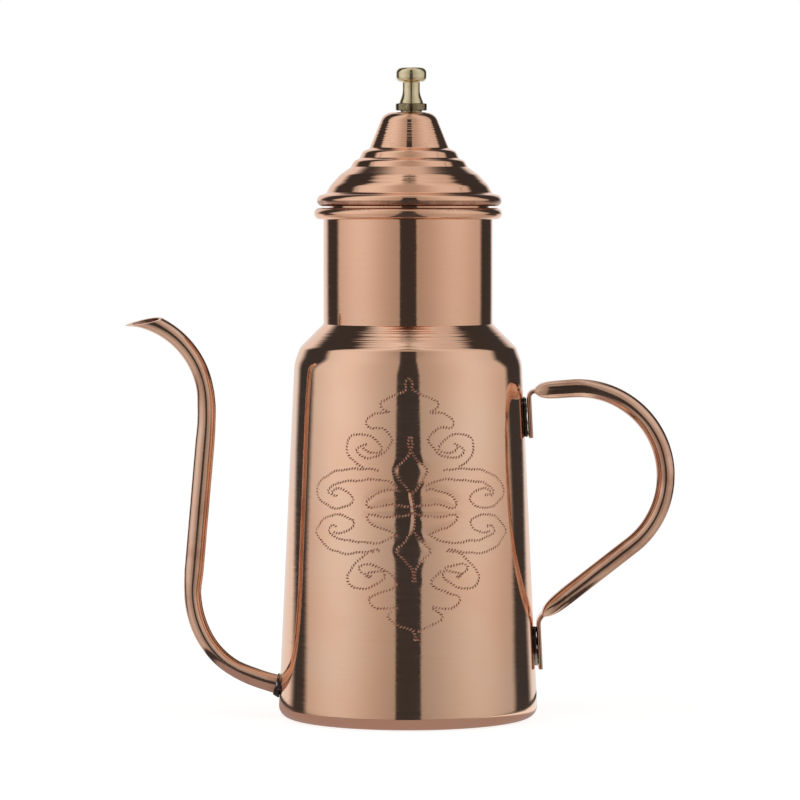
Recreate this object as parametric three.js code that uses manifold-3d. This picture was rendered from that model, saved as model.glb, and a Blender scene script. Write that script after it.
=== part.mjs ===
// A lidded copper can with a swan-neck spout and a looped tube handle.
// Millimetres, +Z up. The origin is the centre of the flat base; the spout leaves towards -X and
// the handle towards +X. Every piece is one named mesh: spun shells, bent tubes, solder and the knob.

import * as THREE from "three";
import { mergeVertices } from "three/addons/utils/BufferGeometryUtils.js";
import Module from "manifold-3d";

const wasm = await Module();
wasm.setup();

// ---------------------------------------------------------------- driving dimensions
const BODY_SHEET = 0.9; // copper sheet of the body
const BASE_RADIUS = 53.3; // where the sloping wall would meet the base plane
const BASE_CORNER = 4.6; // rounding between base and wall
const WALL_TOP_RADIUS = 46.6; // where the straight wall starts to curve inwards
const WALL_TOP_Z = 145.5;
const WALL_TOP_ROUND = 20;
const CREASE_RADIUS = 44.9; // the crease between the wall and the sloping shoulder
const CREASE_Z = 151;
const CREASE_ROUND = 1.5;
const NECK_RADIUS = 34.6; // outside of the neck
const NECK_FOOT_Z = 161.4; // where the shoulder's outer face would meet the neck
const NECK_LAP = 5; // how far the neck reaches down inside the shoulder
const NECK_SOLDER_LEG = 2; // fillet of solder under that joint
const RIM_Z = 206.5; // centre height of the rolled bead at the mouth
const RIM_CURL = 1.45; // inner radius of that bead
const RIM_CURL_ENDS_AT = -120; // degrees round the bead, where the sheet stops short of the neck
const SEGMENTS = 36; // round the axis of the can

const LID_SHEET = 0.8;
const LID_X = 0.5; // the loose lid rests this far off the body's axis
const LID_TOP_Z = 247.8;
const LID_RIM_Z = 211.9; // centre height of the lid's rolled edge
const LID_RIM_RADIUS = 35.4;
const LID_RIM_SECTION = 2.4; // outer radius of the rolled edge's section
const LID_CURL_ENDS_AT = -205; // degrees round the rolled edge
const LIFT_GAP = 0.2; // clearance kept between pieces that touch in use

const COLLAR_RADIUS = 32.8; // outside of the ring that plugs the neck
const COLLAR_SHEET = 0.8;
const COLLAR_BOTTOM_Z = 198;
const COLLAR_TOP_Z = 214.7;

const KNOB_X = 1.3; // the knob stands a little off centre
const KNOB_BASE_Z = 248;
const KNOB_TOP_Z = 266.1;
const KNOB_HEAD_HEIGHT = 5.6;
const KNOB_FLANGE_RADIUS = 6.4;
const KNOB_WAIST_RADIUS = 3.5;
const KNOB_HEAD_RADIUS = 6.2;
const SCREW_RADIUS = 1.9;
const SCREW_HEAD_RADIUS = 3.4;
const SCREW_HEAD_HEIGHT = 1.9;
const SCREW_TIP_Z = 256;
const WASHER_RADIUS = 4.8;
const WASHER_THICKNESS = 0.8;

const SPOUT_RADIUS = 4; // outside of an 8 mm tube
const SPOUT_WALL = 0.8;
const SPOUT_START = [-50.3, 12.2]; // x and z of the tube's inner end, inside the wall
const SPOUT_HEADING = 165; // degrees from +X towards +Z
const SPOUT_ROUTE = [
  { length: 5 },
  { radius: 86, heading: 156 },
  { radius: 33.5, heading: 118 },
  { radius: 40, heading: 85 },
  { length: 61 },
  { radius: 96, heading: 94 },
  { radius: 35.5, heading: 152 },
  { length: 9 },
  { radius: 27, heading: 174 },
  { length: 8 },
];
const SPOUT_LIP = [-115.8, 161.4]; // the point of the slanted mouth
const SPOUT_LIP_RISE = 10; // degrees that the cut rises towards the body
const SPOUT_LIP_ROLL = 13; // degrees that the cut turns towards the front
const SPOUT_SOLDER_REACH = 1.8; // how far the solder spreads round the tube's root
const SPOUT_SOLDER_LENGTH = 4.4; // along the tube, from its inner end

const HANDLE_HEIGHT = 7.5; // tube section across the loop's plane, and along Y
const HANDLE_WIDTH = 8.3;
const HANDLE_WALL = 0.8;
const TAB_THICKNESS = 1.9; // the tube's ends are pressed flat
const TAB_WIDTH = 12.2;
const TAB_SLIT = 0.3;
const WALL_LEAN = 2.8; // degrees that the wall leans in
const LOOP_RADIUS = 36.1;
const UPPER_TAB = [50.4, 114.8]; // x and z of the lower end of the upper tab
const PAD_HALF_WIDTH = 5.4; // solder between tab and wall
// The pad's lowest and highest point, and a point in the middle of its tab's thickness.
const UPPER_PAD = { tabX: 49.7, tabZ: 124, low: 115.3, high: 131 };
const LOWER_PAD = { tabX: 53.9, tabZ: 28, low: 21.5, high: 36.5 };
const HANDLE_ROUTE = [
  { length: 16.4, flat: true },
  { radius: 2.5, heading: 4, flat: true },
  { length: 15.3, swell: 2.2 },
  { radius: LOOP_RADIUS, heading: -142 },
  { length: 34.2 },
  { length: 12, swell: -3 },
  { radius: 5, heading: -90 + WALL_LEAN, flat: true },
  { length: 18, flat: true },
];

// ---------------------------------------------------------------- outlines
const degrees = THREE.MathUtils.degToRad;
const ORIGIN = new THREE.Vector2();

// Points on an arc round (cx, cz), from one angle to another, in degrees.
function arc(cx, cz, radius, from, to, steps) {
  return Array.from({ length: steps + 1 }, (_, i) => {
    const a = degrees(from + ((to - from) * i) / steps);
    return new THREE.Vector2(cx + radius * Math.cos(a), cz + radius * Math.sin(a));
  });
}

// A line through corners [x, z, fillet], each corner rounded to its fillet radius.
function rounded(corners, stepDegrees = 22) {
  return corners.flatMap(([x, z, fillet = 0], i) => {
    const corner = new THREE.Vector2(x, z);
    if (!fillet || i === 0 || i === corners.length - 1) return [corner];
    const back = new THREE.Vector2(...corners[i - 1].slice(0, 2)).sub(corner).normalize();
    const ahead = new THREE.Vector2(...corners[i + 1].slice(0, 2)).sub(corner).normalize();
    const half = Math.acos(THREE.MathUtils.clamp(back.dot(ahead), -1, 1)) / 2;
    const centre = back.clone().add(ahead).normalize().multiplyScalar(fillet / Math.sin(half));
    centre.add(corner);
    const first = corner.clone().addScaledVector(back, fillet / Math.tan(half)).sub(centre);
    const last = corner.clone().addScaledVector(ahead, fillet / Math.tan(half)).sub(centre);
    const turn = Math.atan2(first.cross(last), first.dot(last));
    const steps = Math.max(2, Math.ceil(Math.abs(THREE.MathUtils.radToDeg(turn)) / stepDegrees));
    return Array.from({ length: steps + 1 }, (_, k) =>
      first.clone().rotateAround(ORIGIN, (turn * k) / steps).add(centre),
    );
  });
}

// The line moved sideways by a distance, to the left of its own direction.
function offset(line, distance) {
  return line.map((point, i) => {
    const before = point.clone().sub(line[i - 1] ?? point);
    const after = (line[i + 1] ?? point).clone().sub(point);
    const directions = [before, after].filter((d) => d.length() > 1e-6).map((d) => d.normalize());
    const normals = directions.map((d) => new THREE.Vector2(-d.y, d.x));
    const mean = normals[0].clone().add(normals.at(-1)).normalize();
    return point.clone().addScaledVector(mean, distance / mean.dot(normals[0]));
  });
}

// The closed outline of sheet metal whose outer face follows the line.
function sheet(line, thickness) {
  return [...line, ...offset(line, thickness).reverse()];
}

// ---------------------------------------------------------------- solids
// An outline (radius, height) turned about the Z axis.
function revolve(outline, segments = SEGMENTS) {
  const closed = outline[0].x < 1e-6 ? outline : [...outline, outline[0]];
  const points = closed.map((p) => new THREE.Vector2(Math.max(p.x, 0), p.y));
  return new THREE.LatheGeometry(points, segments).rotateX(Math.PI / 2);
}

function ring(corners, segments) {
  return revolve(corners.map(([r, z]) => new THREE.Vector2(r, z)), segments);
}

function toSolid(geometry) {
  const bare = geometry.clone().deleteAttribute("normal").deleteAttribute("uv");
  const merged = mergeVertices(bare, 1e-4);
  const mesh = new wasm.Mesh({
    numProp: 3,
    vertProperties: merged.attributes.position.array,
    triVerts: new Uint32Array(merged.index.array),
  });
  return new wasm.Manifold(mesh);
}

function toGeometry(solid) {
  const { vertProperties, triVerts } = solid.getMesh();
  const geometry = new THREE.BufferGeometry();
  geometry.setAttribute("position", new THREE.BufferAttribute(vertProperties, 3));
  geometry.setIndex(new THREE.BufferAttribute(triVerts, 1));
  return geometry;
}

const minus = (geometry, ...cutters) =>
  toGeometry(cutters.reduce((left, c) => left.subtract(toSolid(c)), toSolid(geometry)));

// Walks a route of straights and bends in the XZ plane. Each station has a place, a heading in
// degrees and a fullness: 1 where the tube is round, 0 where it is pressed flat.
function walk(start, heading, route) {
  let place = new THREE.Vector2(...start);
  const stations = [];
  for (const step of route) {
    const { length, radius, flat = false, swell = 0 } = step;
    const turn = radius ? step.heading - heading : 0;
    const side = Math.sign(turn);
    const steps = radius ? Math.max(3, Math.ceil(Math.abs(turn) / 12)) : swell ? 5 : 1;
    const from = place.clone();
    const first = heading;
    for (let k = stations.length ? 1 : 0; k <= steps; k += 1) {
      const part = k / steps;
      if (radius) {
        heading = first + turn * part;
        const leaving = new THREE.Vector2(0, -side * radius).rotateAround(ORIGIN, degrees(first));
        place = from.clone().sub(leaving);
        place.add(leaving.rotateAround(ORIGIN, degrees(turn * part)));
      } else {
        const ahead = new THREE.Vector2(1, 0).rotateAround(ORIGIN, degrees(heading));
        place = from.clone().addScaledVector(ahead, length * part);
      }
      const along = swell < 0 ? length * (1 - part) : (length ?? 0) * part;
      const fullness = swell ? 1 - Math.exp(-along / Math.abs(swell)) : 1;
      stations.push({ place, heading, fullness: flat ? 0 : fullness });
    }
  }
  return stations;
}

// One ring of a tube's section at a station. Its half sizes lie across the route and along Y.
function section({ place, heading }, across, along, squareness, sides) {
  const normal = new THREE.Vector3(-Math.sin(degrees(heading)), 0, Math.cos(degrees(heading)));
  const bulge = (value) => Math.sign(value) * Math.abs(value) ** (2 / squareness);
  return Array.from({ length: sides }, (_, i) => {
    const a = (2 * Math.PI * i) / sides;
    const point = new THREE.Vector3(place.x, 0, place.y);
    point.addScaledVector(normal, across * bulge(Math.cos(a)));
    point.y += along * bulge(Math.sin(a));
    return point;
  });
}

// A hollow tube, open at both ends, through matching outer and inner rings.
function loft(outer, inner) {
  const sides = outer[0].length;
  const vertices = [...outer.flat(), ...inner.flat()];
  const innerStart = outer.length * sides;
  const index = [];
  const quad = (a, b, c, d) => index.push(a, c, b, a, d, c);
  const last = outer.length - 1;
  for (let i = 0; i < sides; i += 1) {
    const j = (i + 1) % sides;
    for (let s = 0; s < last; s += 1) {
      const here = s * sides;
      const next = here + sides;
      quad(here + i, here + j, next + j, next + i);
      const inside = innerStart + here;
      quad(inside + j, inside + i, inside + sides + i, inside + sides + j);
    }
    quad(i, innerStart + i, innerStart + j, j);
    const end = last * sides;
    quad(end + j, innerStart + end + j, innerStart + end + i, end + i);
  }
  const geometry = new THREE.BufferGeometry();
  geometry.setAttribute(
    "position",
    new THREE.Float32BufferAttribute(vertices.flatMap((v) => v.toArray()), 3),
  );
  return geometry.setIndex(index);
}

// ---------------------------------------------------------------- body
const neckMiddle = NECK_RADIUS - BODY_SHEET / 2;
const rimRadius = neckMiddle + RIM_CURL + BODY_SHEET / 2; // centre of the bead's section

function bodyLine() {
  const pastNeck = 2 * BODY_SHEET; // the shoulder runs on inwards, for the neck's hole to be cut in it
  return rounded([
    [0, 0],
    [BASE_RADIUS, 0, BASE_CORNER],
    [WALL_TOP_RADIUS, WALL_TOP_Z, WALL_TOP_ROUND],
    [CREASE_RADIUS, CREASE_Z, CREASE_ROUND],
    [NECK_RADIUS - pastNeck, NECK_FOOT_Z + pastNeck],
  ]);
}

function neckLine() {
  return [
    new THREE.Vector2(NECK_RADIUS, NECK_FOOT_Z - NECK_LAP),
    new THREE.Vector2(NECK_RADIUS, RIM_Z - RIM_CURL),
    ...arc(rimRadius, RIM_Z, RIM_CURL, 180, RIM_CURL_ENDS_AT, 8),
  ];
}

const wallRadius = (z) => BASE_RADIUS - ((BASE_RADIUS - WALL_TOP_RADIUS) * z) / WALL_TOP_Z;

// A straight round bar along the spout's first stretch, for the hole and the solder there.
function rootBar(radius, length, taperTo = radius) {
  const bar = new THREE.CylinderGeometry(taperTo, radius, length, 24).translate(0, length / 2, 0);
  bar.rotateZ(degrees(SPOUT_HEADING - 90)).rotateX(Math.PI / 2);
  return bar.translate(SPOUT_START[0], 0, SPOUT_START[1]);
}

function bodyShell() {
  const hole = NECK_RADIUS + LIFT_GAP;
  const low = NECK_FOOT_Z - NECK_LAP;
  const high = NECK_FOOT_Z + NECK_LAP;
  const neckHole = ring([[0, low], [hole, low], [hole, high], [0, high]]);
  const spoutHole = rootBar(SPOUT_RADIUS + LIFT_GAP, 8);
  return minus(revolve(sheet(bodyLine(), BODY_SHEET)), neckHole, spoutHole);
}

const neckSleeve = () => revolve(sheet(neckLine(), BODY_SHEET));

function neckSolder() {
  const inside = NECK_RADIUS + LIFT_GAP;
  const top = NECK_FOOT_Z - 2 * BODY_SHEET; // just under the sloping shoulder
  return ring([
    [inside, top - 1.5 * NECK_SOLDER_LEG],
    [inside + NECK_SOLDER_LEG, top - NECK_SOLDER_LEG],
    [inside, top],
  ]);
}

// A plain wire ring that fills a rolled bead.
function rimWire(ringRadius, z, wireRadius) {
  return revolve(arc(ringRadius, z, wireRadius, 0, 300, 5));
}

// ---------------------------------------------------------------- spout
function spoutTube() {
  const stations = walk(SPOUT_START, SPOUT_HEADING, SPOUT_ROUTE);
  const rings = (radius) => stations.map((s) => section(s, radius, radius, 2, 12));
  const tube = loft(rings(SPOUT_RADIUS), rings(SPOUT_RADIUS - SPOUT_WALL));
  const size = 10 * SPOUT_RADIUS;
  const waste = new THREE.BoxGeometry(size, size, size).translate(0, 0, size / 2);
  waste.rotateX(degrees(SPOUT_LIP_ROLL)).rotateY(-degrees(SPOUT_LIP_RISE));
  waste.translate(SPOUT_LIP[0], 0, SPOUT_LIP[1]);
  return minus(tube, waste);
}

function spoutSolder() {
  const cone = rootBar(SPOUT_RADIUS + SPOUT_SOLDER_REACH, SPOUT_SOLDER_LENGTH, SPOUT_RADIUS + 0.5);
  const height = 2 * (SPOUT_RADIUS + SPOUT_SOLDER_REACH) + SPOUT_START[1];
  const wall = new THREE.CylinderGeometry(wallRadius(height), wallRadius(0), height, 2 * SEGMENTS);
  wall.rotateX(Math.PI / 2).translate(0, 0, height / 2);
  wall.scale(1 + LIFT_GAP / BASE_RADIUS, 1 + LIFT_GAP / BASE_RADIUS, 1);
  return minus(cone, wall, rootBar(SPOUT_RADIUS + LIFT_GAP, 2 * SPOUT_SOLDER_LENGTH));
}

// ---------------------------------------------------------------- handle
function handleTube() {
  const stations = walk(UPPER_TAB, 90 + WALL_LEAN, HANDLE_ROUTE);
  const blend = (flat, round, fullness) => flat + (round - flat) * fullness;
  const rings = (height, width, flatHeight, flatWidth) =>
    stations.map((s) => {
      const across = blend(flatHeight, height, s.fullness) / 2;
      const along = blend(flatWidth, width, s.fullness) / 2;
      return section(s, across, along, blend(4, 2, s.fullness), 16);
    });
  const bore = 2 * HANDLE_WALL;
  return loft(
    rings(HANDLE_HEIGHT, HANDLE_WIDTH, TAB_THICKNESS, TAB_WIDTH),
    rings(HANDLE_HEIGHT - bore, HANDLE_WIDTH - bore, TAB_SLIT, TAB_WIDTH - bore),
  );
}

// A pad of solder between the round wall and a flat tab, from one height to another.
function solderPad({ tabX, tabZ, low, high }) {
  const tabFace = (z) => tabX - Math.tan(degrees(WALL_LEAN)) * (z - tabZ) - TAB_THICKNESS / 2;
  const wallFace = (y, z) => Math.sqrt((wallRadius(z) + LIFT_GAP) ** 2 - y ** 2);
  const pad = new THREE.BoxGeometry(1, 2 * PAD_HALF_WIDTH, high - low, 1, 8, 2);
  const place = pad.attributes.position;
  for (let i = 0; i < place.count; i += 1) {
    const y = place.getY(i);
    const z = place.getZ(i) + (low + high) / 2;
    const x = place.getX(i) < 0 ? wallFace(y, z) : tabFace(z) - LIFT_GAP;
    place.setXYZ(i, x, y, z);
  }
  return pad;
}

// ---------------------------------------------------------------- lid
function lidLine() {
  return [
    ...rounded([
      [0, LID_TOP_Z],
      [10.3, LID_TOP_Z, 4.8],
      [16.3, LID_TOP_Z - 14.7, 0.8],
      [19, LID_TOP_Z - 15.8, 2.6],
      [20.4, LID_TOP_Z - 18.7, 0.3],
      [22.6, LID_TOP_Z - 19.8, 2.2],
      [23.9, LID_TOP_Z - 22.3, 0.4],
      [28.3, LID_TOP_Z - 25.4, 5],
      [32.3, LID_TOP_Z - 29.8, 6],
      [34, LID_TOP_Z - 33, 1.2],
      [LID_RIM_RADIUS, LID_RIM_Z + LID_RIM_SECTION],
    ]).slice(0, -1),
    ...arc(LID_RIM_RADIUS, LID_RIM_Z, LID_RIM_SECTION, 90, LID_CURL_ENDS_AT, 9),
  ];
}

function lidShell() {
  const shell = revolve(sheet(lidLine(), -LID_SHEET).reverse());
  const hole = new THREE.CylinderGeometry(SCREW_RADIUS + 0.3, SCREW_RADIUS + 0.3, 6, 16);
  hole.rotateX(Math.PI / 2).translate(KNOB_X - LID_X, 0, LID_TOP_Z);
  return minus(shell, hole);
}

const collarInside = COLLAR_RADIUS - COLLAR_SHEET;

const lidCollar = () =>
  ring([
    [collarInside, COLLAR_BOTTOM_Z],
    [COLLAR_RADIUS, COLLAR_BOTTOM_Z],
    [COLLAR_RADIUS, COLLAR_TOP_Z - 1],
    [collarInside, COLLAR_TOP_Z],
  ]);

const collarSolder = () =>
  ring([
    [collarInside - 1.3, COLLAR_TOP_Z + 1.2],
    [collarInside - LIFT_GAP, COLLAR_TOP_Z - 1.2],
    [collarInside - LIFT_GAP, COLLAR_TOP_Z + 0.6],
  ]);

// ---------------------------------------------------------------- knob and its screw
function lidKnob() {
  const bore = SCREW_RADIUS + LIFT_GAP;
  return revolve(
    [
      ...rounded([
        [bore, KNOB_BASE_Z],
        [4.4, KNOB_BASE_Z],
        [4.4, KNOB_BASE_Z + 0.5],
        [KNOB_FLANGE_RADIUS, KNOB_BASE_Z + 0.6, 0.3],
        [KNOB_FLANGE_RADIUS, KNOB_BASE_Z + 3.4, 0.4],
        [5, KNOB_BASE_Z + 3.6],
        [KNOB_WAIST_RADIUS, KNOB_BASE_Z + 7.6, 8],
        [KNOB_WAIST_RADIUS, KNOB_TOP_Z - KNOB_HEAD_HEIGHT - 0.3, 0.4],
        [KNOB_HEAD_RADIUS, KNOB_TOP_Z - KNOB_HEAD_HEIGHT, 2.4],
        [KNOB_HEAD_RADIUS, KNOB_TOP_Z, 2.9],
        [0, KNOB_TOP_Z],
      ]),
      new THREE.Vector2(0, SCREW_TIP_Z + 0.5),
      new THREE.Vector2(bore, SCREW_TIP_Z + 0.5),
      new THREE.Vector2(bore, KNOB_BASE_Z),
    ],
    20,
  );
}

const lidInsideZ = LID_TOP_Z - LID_SHEET;
const washerTopZ = lidInsideZ - LIFT_GAP;
const screwSeatZ = washerTopZ - WASHER_THICKNESS - LIFT_GAP;

const knobWasher = () =>
  ring(
    [
      [SCREW_RADIUS + LIFT_GAP, washerTopZ - WASHER_THICKNESS],
      [WASHER_RADIUS, washerTopZ - WASHER_THICKNESS],
      [WASHER_RADIUS, washerTopZ],
      [SCREW_RADIUS + LIFT_GAP, washerTopZ],
    ],
    20,
  );

const knobScrew = () =>
  revolve(
    rounded([
      [0, screwSeatZ - SCREW_HEAD_HEIGHT],
      [SCREW_HEAD_RADIUS, screwSeatZ - SCREW_HEAD_HEIGHT, 1],
      [SCREW_HEAD_RADIUS, screwSeatZ],
      [SCREW_RADIUS, screwSeatZ],
      [SCREW_RADIUS, SCREW_TIP_Z],
      [0, SCREW_TIP_Z],
    ]),
    16,
  );

// ---------------------------------------------------------------- finishes
const finish = (color, roughness) => () =>
  new THREE.MeshStandardMaterial({ color, roughness, metalness: 1 });
const copper = finish(0xc98e6d, 0.2);
const brass = finish(0xcdbd85, 0.25);
const tin = finish(0x9a9c98, 0.35);
const steel = finish(0xa8aaac, 0.35);

// ---------------------------------------------------------------- assembly
function piece(name, geometry, material) {
  const mesh = new THREE.Mesh(geometry, material);
  mesh.name = name;
  return mesh;
}

const body = new THREE.Group();
body.add(
  piece("body_shell", bodyShell(), copper()),
  piece("neck_sleeve", neckSleeve(), copper()),
  piece("neck_solder", neckSolder(), tin()),
  piece("neck_rim_wire", rimWire(rimRadius, RIM_Z, RIM_CURL - LIFT_GAP), copper()),
  piece("spout_tube", spoutTube(), copper()),
  piece("spout_solder", spoutSolder(), tin()),
  piece("handle_tube", handleTube(), copper()),
  piece("handle_upper_solder", solderPad(UPPER_PAD), tin()),
  piece("handle_lower_solder", solderPad(LOWER_PAD), tin()),
);

const lidWireSection = LID_RIM_SECTION - LID_SHEET - LIFT_GAP;
const lid = new THREE.Group();
lid.position.x = LID_X;
lid.add(
  piece("lid_shell", lidShell(), copper()),
  piece("lid_rim_wire", rimWire(LID_RIM_RADIUS, LID_RIM_Z, lidWireSection), copper()),
  piece("lid_collar", lidCollar(), copper()),
  piece("lid_collar_solder", collarSolder(), tin()),
);

const knob = new THREE.Group();
knob.position.x = KNOB_X - LID_X;
knob.add(
  piece("lid_knob", lidKnob(), brass()),
  piece("knob_washer", knobWasher(), brass()),
  piece("knob_screw", knobScrew(), steel()),
);
lid.add(knob);

const wateringCan = new THREE.Group();
wateringCan.add(body, lid);

export default wateringCan;
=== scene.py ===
"""The looks of a lidded copper can with a swan-neck spout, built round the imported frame.

Lengths are in millimetres until a mesh is made, and angles in degrees unless a name says otherwise.
The origin is the centre of the flat base; the spout leaves towards -X, the handle towards +X and the
engraved front faces -Y.
"""

import math
import random

import bmesh
import bpy
import numpy as np
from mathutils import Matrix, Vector
from mathutils.geometry import delaunay_2d_cdt


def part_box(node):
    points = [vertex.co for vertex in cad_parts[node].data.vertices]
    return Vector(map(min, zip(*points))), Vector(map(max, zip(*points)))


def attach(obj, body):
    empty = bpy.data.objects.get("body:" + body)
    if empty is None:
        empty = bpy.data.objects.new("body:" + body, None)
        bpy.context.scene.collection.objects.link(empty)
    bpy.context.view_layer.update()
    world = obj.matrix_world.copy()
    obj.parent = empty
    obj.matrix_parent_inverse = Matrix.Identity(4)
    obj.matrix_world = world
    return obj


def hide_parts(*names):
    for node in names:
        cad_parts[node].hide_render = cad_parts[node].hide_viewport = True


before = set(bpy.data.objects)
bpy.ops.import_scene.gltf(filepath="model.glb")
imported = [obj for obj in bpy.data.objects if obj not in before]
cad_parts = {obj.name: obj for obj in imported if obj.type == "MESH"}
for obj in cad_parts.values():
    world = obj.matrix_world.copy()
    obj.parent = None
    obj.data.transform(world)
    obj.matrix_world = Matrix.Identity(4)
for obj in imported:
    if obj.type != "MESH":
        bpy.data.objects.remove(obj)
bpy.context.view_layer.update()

MM = 0.001


def node_box(node):
    """Lowest and highest corner of a CAD node, in millimetres."""
    low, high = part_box(node)
    return low / MM, high / MM


# ---------------------------------------------------------------- sizes taken from the frame
lid_low, lid_high = node_box("lid_shell")
collar_low, collar_high = node_box("lid_collar")
knob_low, knob_high = node_box("lid_knob")
washer_low, washer_high = node_box("knob_washer")
screw_low, screw_high = node_box("knob_screw")
rim_low, rim_high = node_box("neck_rim_wire")
lid_wire_low, lid_wire_high = node_box("lid_rim_wire")

RIM_Z = (rim_low.z + rim_high.z) / 2
NECK_BOTTOM = node_box("neck_sleeve")[0].z

# The rest are the part's own sizes, which a box doesn't give.
BODY_SHEET = 0.9
BASE_RADIUS = 53.3  # where the leaning wall would meet the base plane
BASE_CORNER = 4.6
WALL_TOP_RADIUS = 46.6
WALL_TOP_Z = 145.5
WALL_TOP_ROUND = 16
CREASE_RADIUS = 44.2  # the crease between the wall and the sloping shoulder
CREASE_Z = 151.8
CREASE_ROUND = 3
NECK_RADIUS = 34.6
NECK_FOOT_Z = 161.4
NECK_HOLE = NECK_RADIUS + 0.08  # the hole in the shoulder, with a fine dark line round the neck
RIM_CURL = 1.45  # inner radius of the rolled bead
RIM_WIRE_RADIUS = 1.1

LID_X = (lid_low.x + lid_high.x) / 2
LID_TOP = lid_high.z
LID_SHEET = 0.8
LID_RIM_Z = (lid_wire_low.z + lid_wire_high.z) / 2
LID_RIM_RADIUS = 35.4
LID_RIM_SECTION = 2.4
LID_WIRE_RADIUS = 1.4

KNOB_X = (knob_low.x + knob_high.x) / 2
KNOB_BASE = knob_low.z
KNOB_TOP = knob_high.z
KNOB_FLANGE_RADIUS = 6.4
KNOB_WAIST_RADIUS = 3.5
KNOB_HEAD_RADIUS = 6.2
SCREW_RADIUS = 1.9


# ---------------------------------------------------------------- outlines
def arc(centre, radius, start, end, step=6):
    """Points on an arc round centre, from one angle to another."""
    count = max(2, math.ceil(abs(end - start) / step))
    angles = np.radians(np.linspace(start, end, count + 1))
    return [(centre[0] + radius * math.cos(a), centre[1] + radius * math.sin(a)) for a in angles]


def rounded(corners, step=6):
    """A line through corners (r, z, fillet), each corner rounded to its fillet radius."""
    line = []
    for i, (r, z, *fillet) in enumerate(corners):
        corner = np.array((r, z), float)
        if not fillet or i in (0, len(corners) - 1):
            line.append(tuple(corner))
            continue
        back = np.array(corners[i - 1][:2]) - corner
        ahead = np.array(corners[i + 1][:2]) - corner
        back /= np.linalg.norm(back)
        ahead /= np.linalg.norm(ahead)
        half = math.acos(np.clip(back @ ahead, -1, 1)) / 2
        middle = back + ahead
        centre = corner + middle / np.linalg.norm(middle) * fillet[0] / math.sin(half)
        first = corner + back * fillet[0] / math.tan(half) - centre
        last = corner + ahead * fillet[0] / math.tan(half) - centre
        start = math.degrees(math.atan2(first[1], first[0]))
        turn = math.degrees(math.atan2(last[1], last[0])) - start
        turn = (turn + 180) % 360 - 180
        line += arc(centre, fillet[0], start, start + turn, step)
    return line


def rounded_loop(corners):
    """A closed outline through corners, rounded like a line; the first corner lies on a straight."""
    return rounded([*corners, corners[0]])[:-1]


def offset(line, distance):
    """The line moved sideways by a distance, to the left of its own direction."""
    points = np.array(line)
    steps = np.diff(points, axis=0)
    normals = np.stack([-steps[:, 1], steps[:, 0]], 1) / np.linalg.norm(steps, axis=1)[:, None]
    before = np.vstack([normals[:1], normals])
    after = np.vstack([normals, normals[-1:]])
    middle = before + after
    middle /= np.linalg.norm(middle, axis=1)[:, None]
    reach = distance / (middle * before).sum(1)
    return [tuple(p) for p in points + middle * reach[:, None]]


def split_long(line, longest):
    """The same line with its long straights divided."""
    fine = [line[0]]
    for a, b in zip(line, line[1:]):
        count = max(1, math.ceil(math.dist(a, b) / longest))
        step = np.array(b) - np.array(a)
        fine += [tuple(np.array(a) + step * k / count) for k in range(1, count + 1)]
    return fine


def turning_marks(z):
    """Uneven marks of the spinning tool, from -1 to 1, by height in millimetres."""
    broad = math.sin(5.7 * z + 1.9 * math.sin(1.3 * z))
    fine = math.sin(11.3 * z + 2.2 * math.sin(2.1 * z))
    return 0.6 * broad + 0.4 * fine


MARK_STEP = 0.14  # spacing of the points that carry the turning marks


def rippled(line, low, high, height):
    """The line with turning marks pushed out of it between two heights."""
    fine = [line[0]]
    for a, b in zip(line, line[1:]):
        inside = min(a[1], b[1]) < high and max(a[1], b[1]) > low
        fine += split_long([a, b], MARK_STEP)[1:] if inside else [b]
    result = []
    for (r, z), (nr, nz) in zip(fine, corner_normals(fine, False)[0]):
        share = min(max((z - low) / (high - low), 0), 1)
        push = height * math.sqrt(abs(math.sin(math.pi * share))) * turning_marks(z)
        result.append((r + nr * push, z + nz * push))
    return result


# ---------------------------------------------------------------- meshes
def add_object(name, data):
    """A new object in the scene."""
    made = bpy.data.objects.new(name, data)
    bpy.context.scene.collection.objects.link(made)
    return made


def new_piece(name, vertices, faces, body, node, materials, face_materials=None):
    """A smooth mesh object in metres that stands for a CAD node and rides on its body."""
    mesh = bpy.data.meshes.new(name)
    mesh.from_pydata([Vector(v) * MM for v in vertices], [], faces)
    for material in materials:
        mesh.materials.append(material)
    if face_materials is not None:
        mesh.polygons.foreach_set("material_index", face_materials)
    mesh.shade_smooth()
    piece = add_object(name, mesh)
    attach(piece, body)
    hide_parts(node)
    return piece


def corner_normals(outline, closed, sharp=38):
    """For each point of an outline, its normal as seen from the segment before and after it."""
    points = np.array(outline)
    steps = np.roll(points, -1, 0) - points
    lengths = np.linalg.norm(steps, axis=1)
    normals = np.stack([steps[:, 1], -steps[:, 0]], 1) / np.maximum(lengths, 1e-9)[:, None]
    if not closed:
        normals[-1] = normals[-2]
    before, after = np.roll(normals, 1, 0), normals.copy()
    weights = np.roll(lengths, 1), lengths
    if not closed:
        before[0] = normals[0]
    for i in range(len(points)):
        if before[i] @ after[i] > math.cos(math.radians(sharp)):
            mixed = before[i] * weights[0][i] ** 2 + after[i] * weights[1][i] ** 2
            before[i] = after[i] = mixed / max(np.linalg.norm(mixed), 1e-9)
    return before, after


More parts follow.
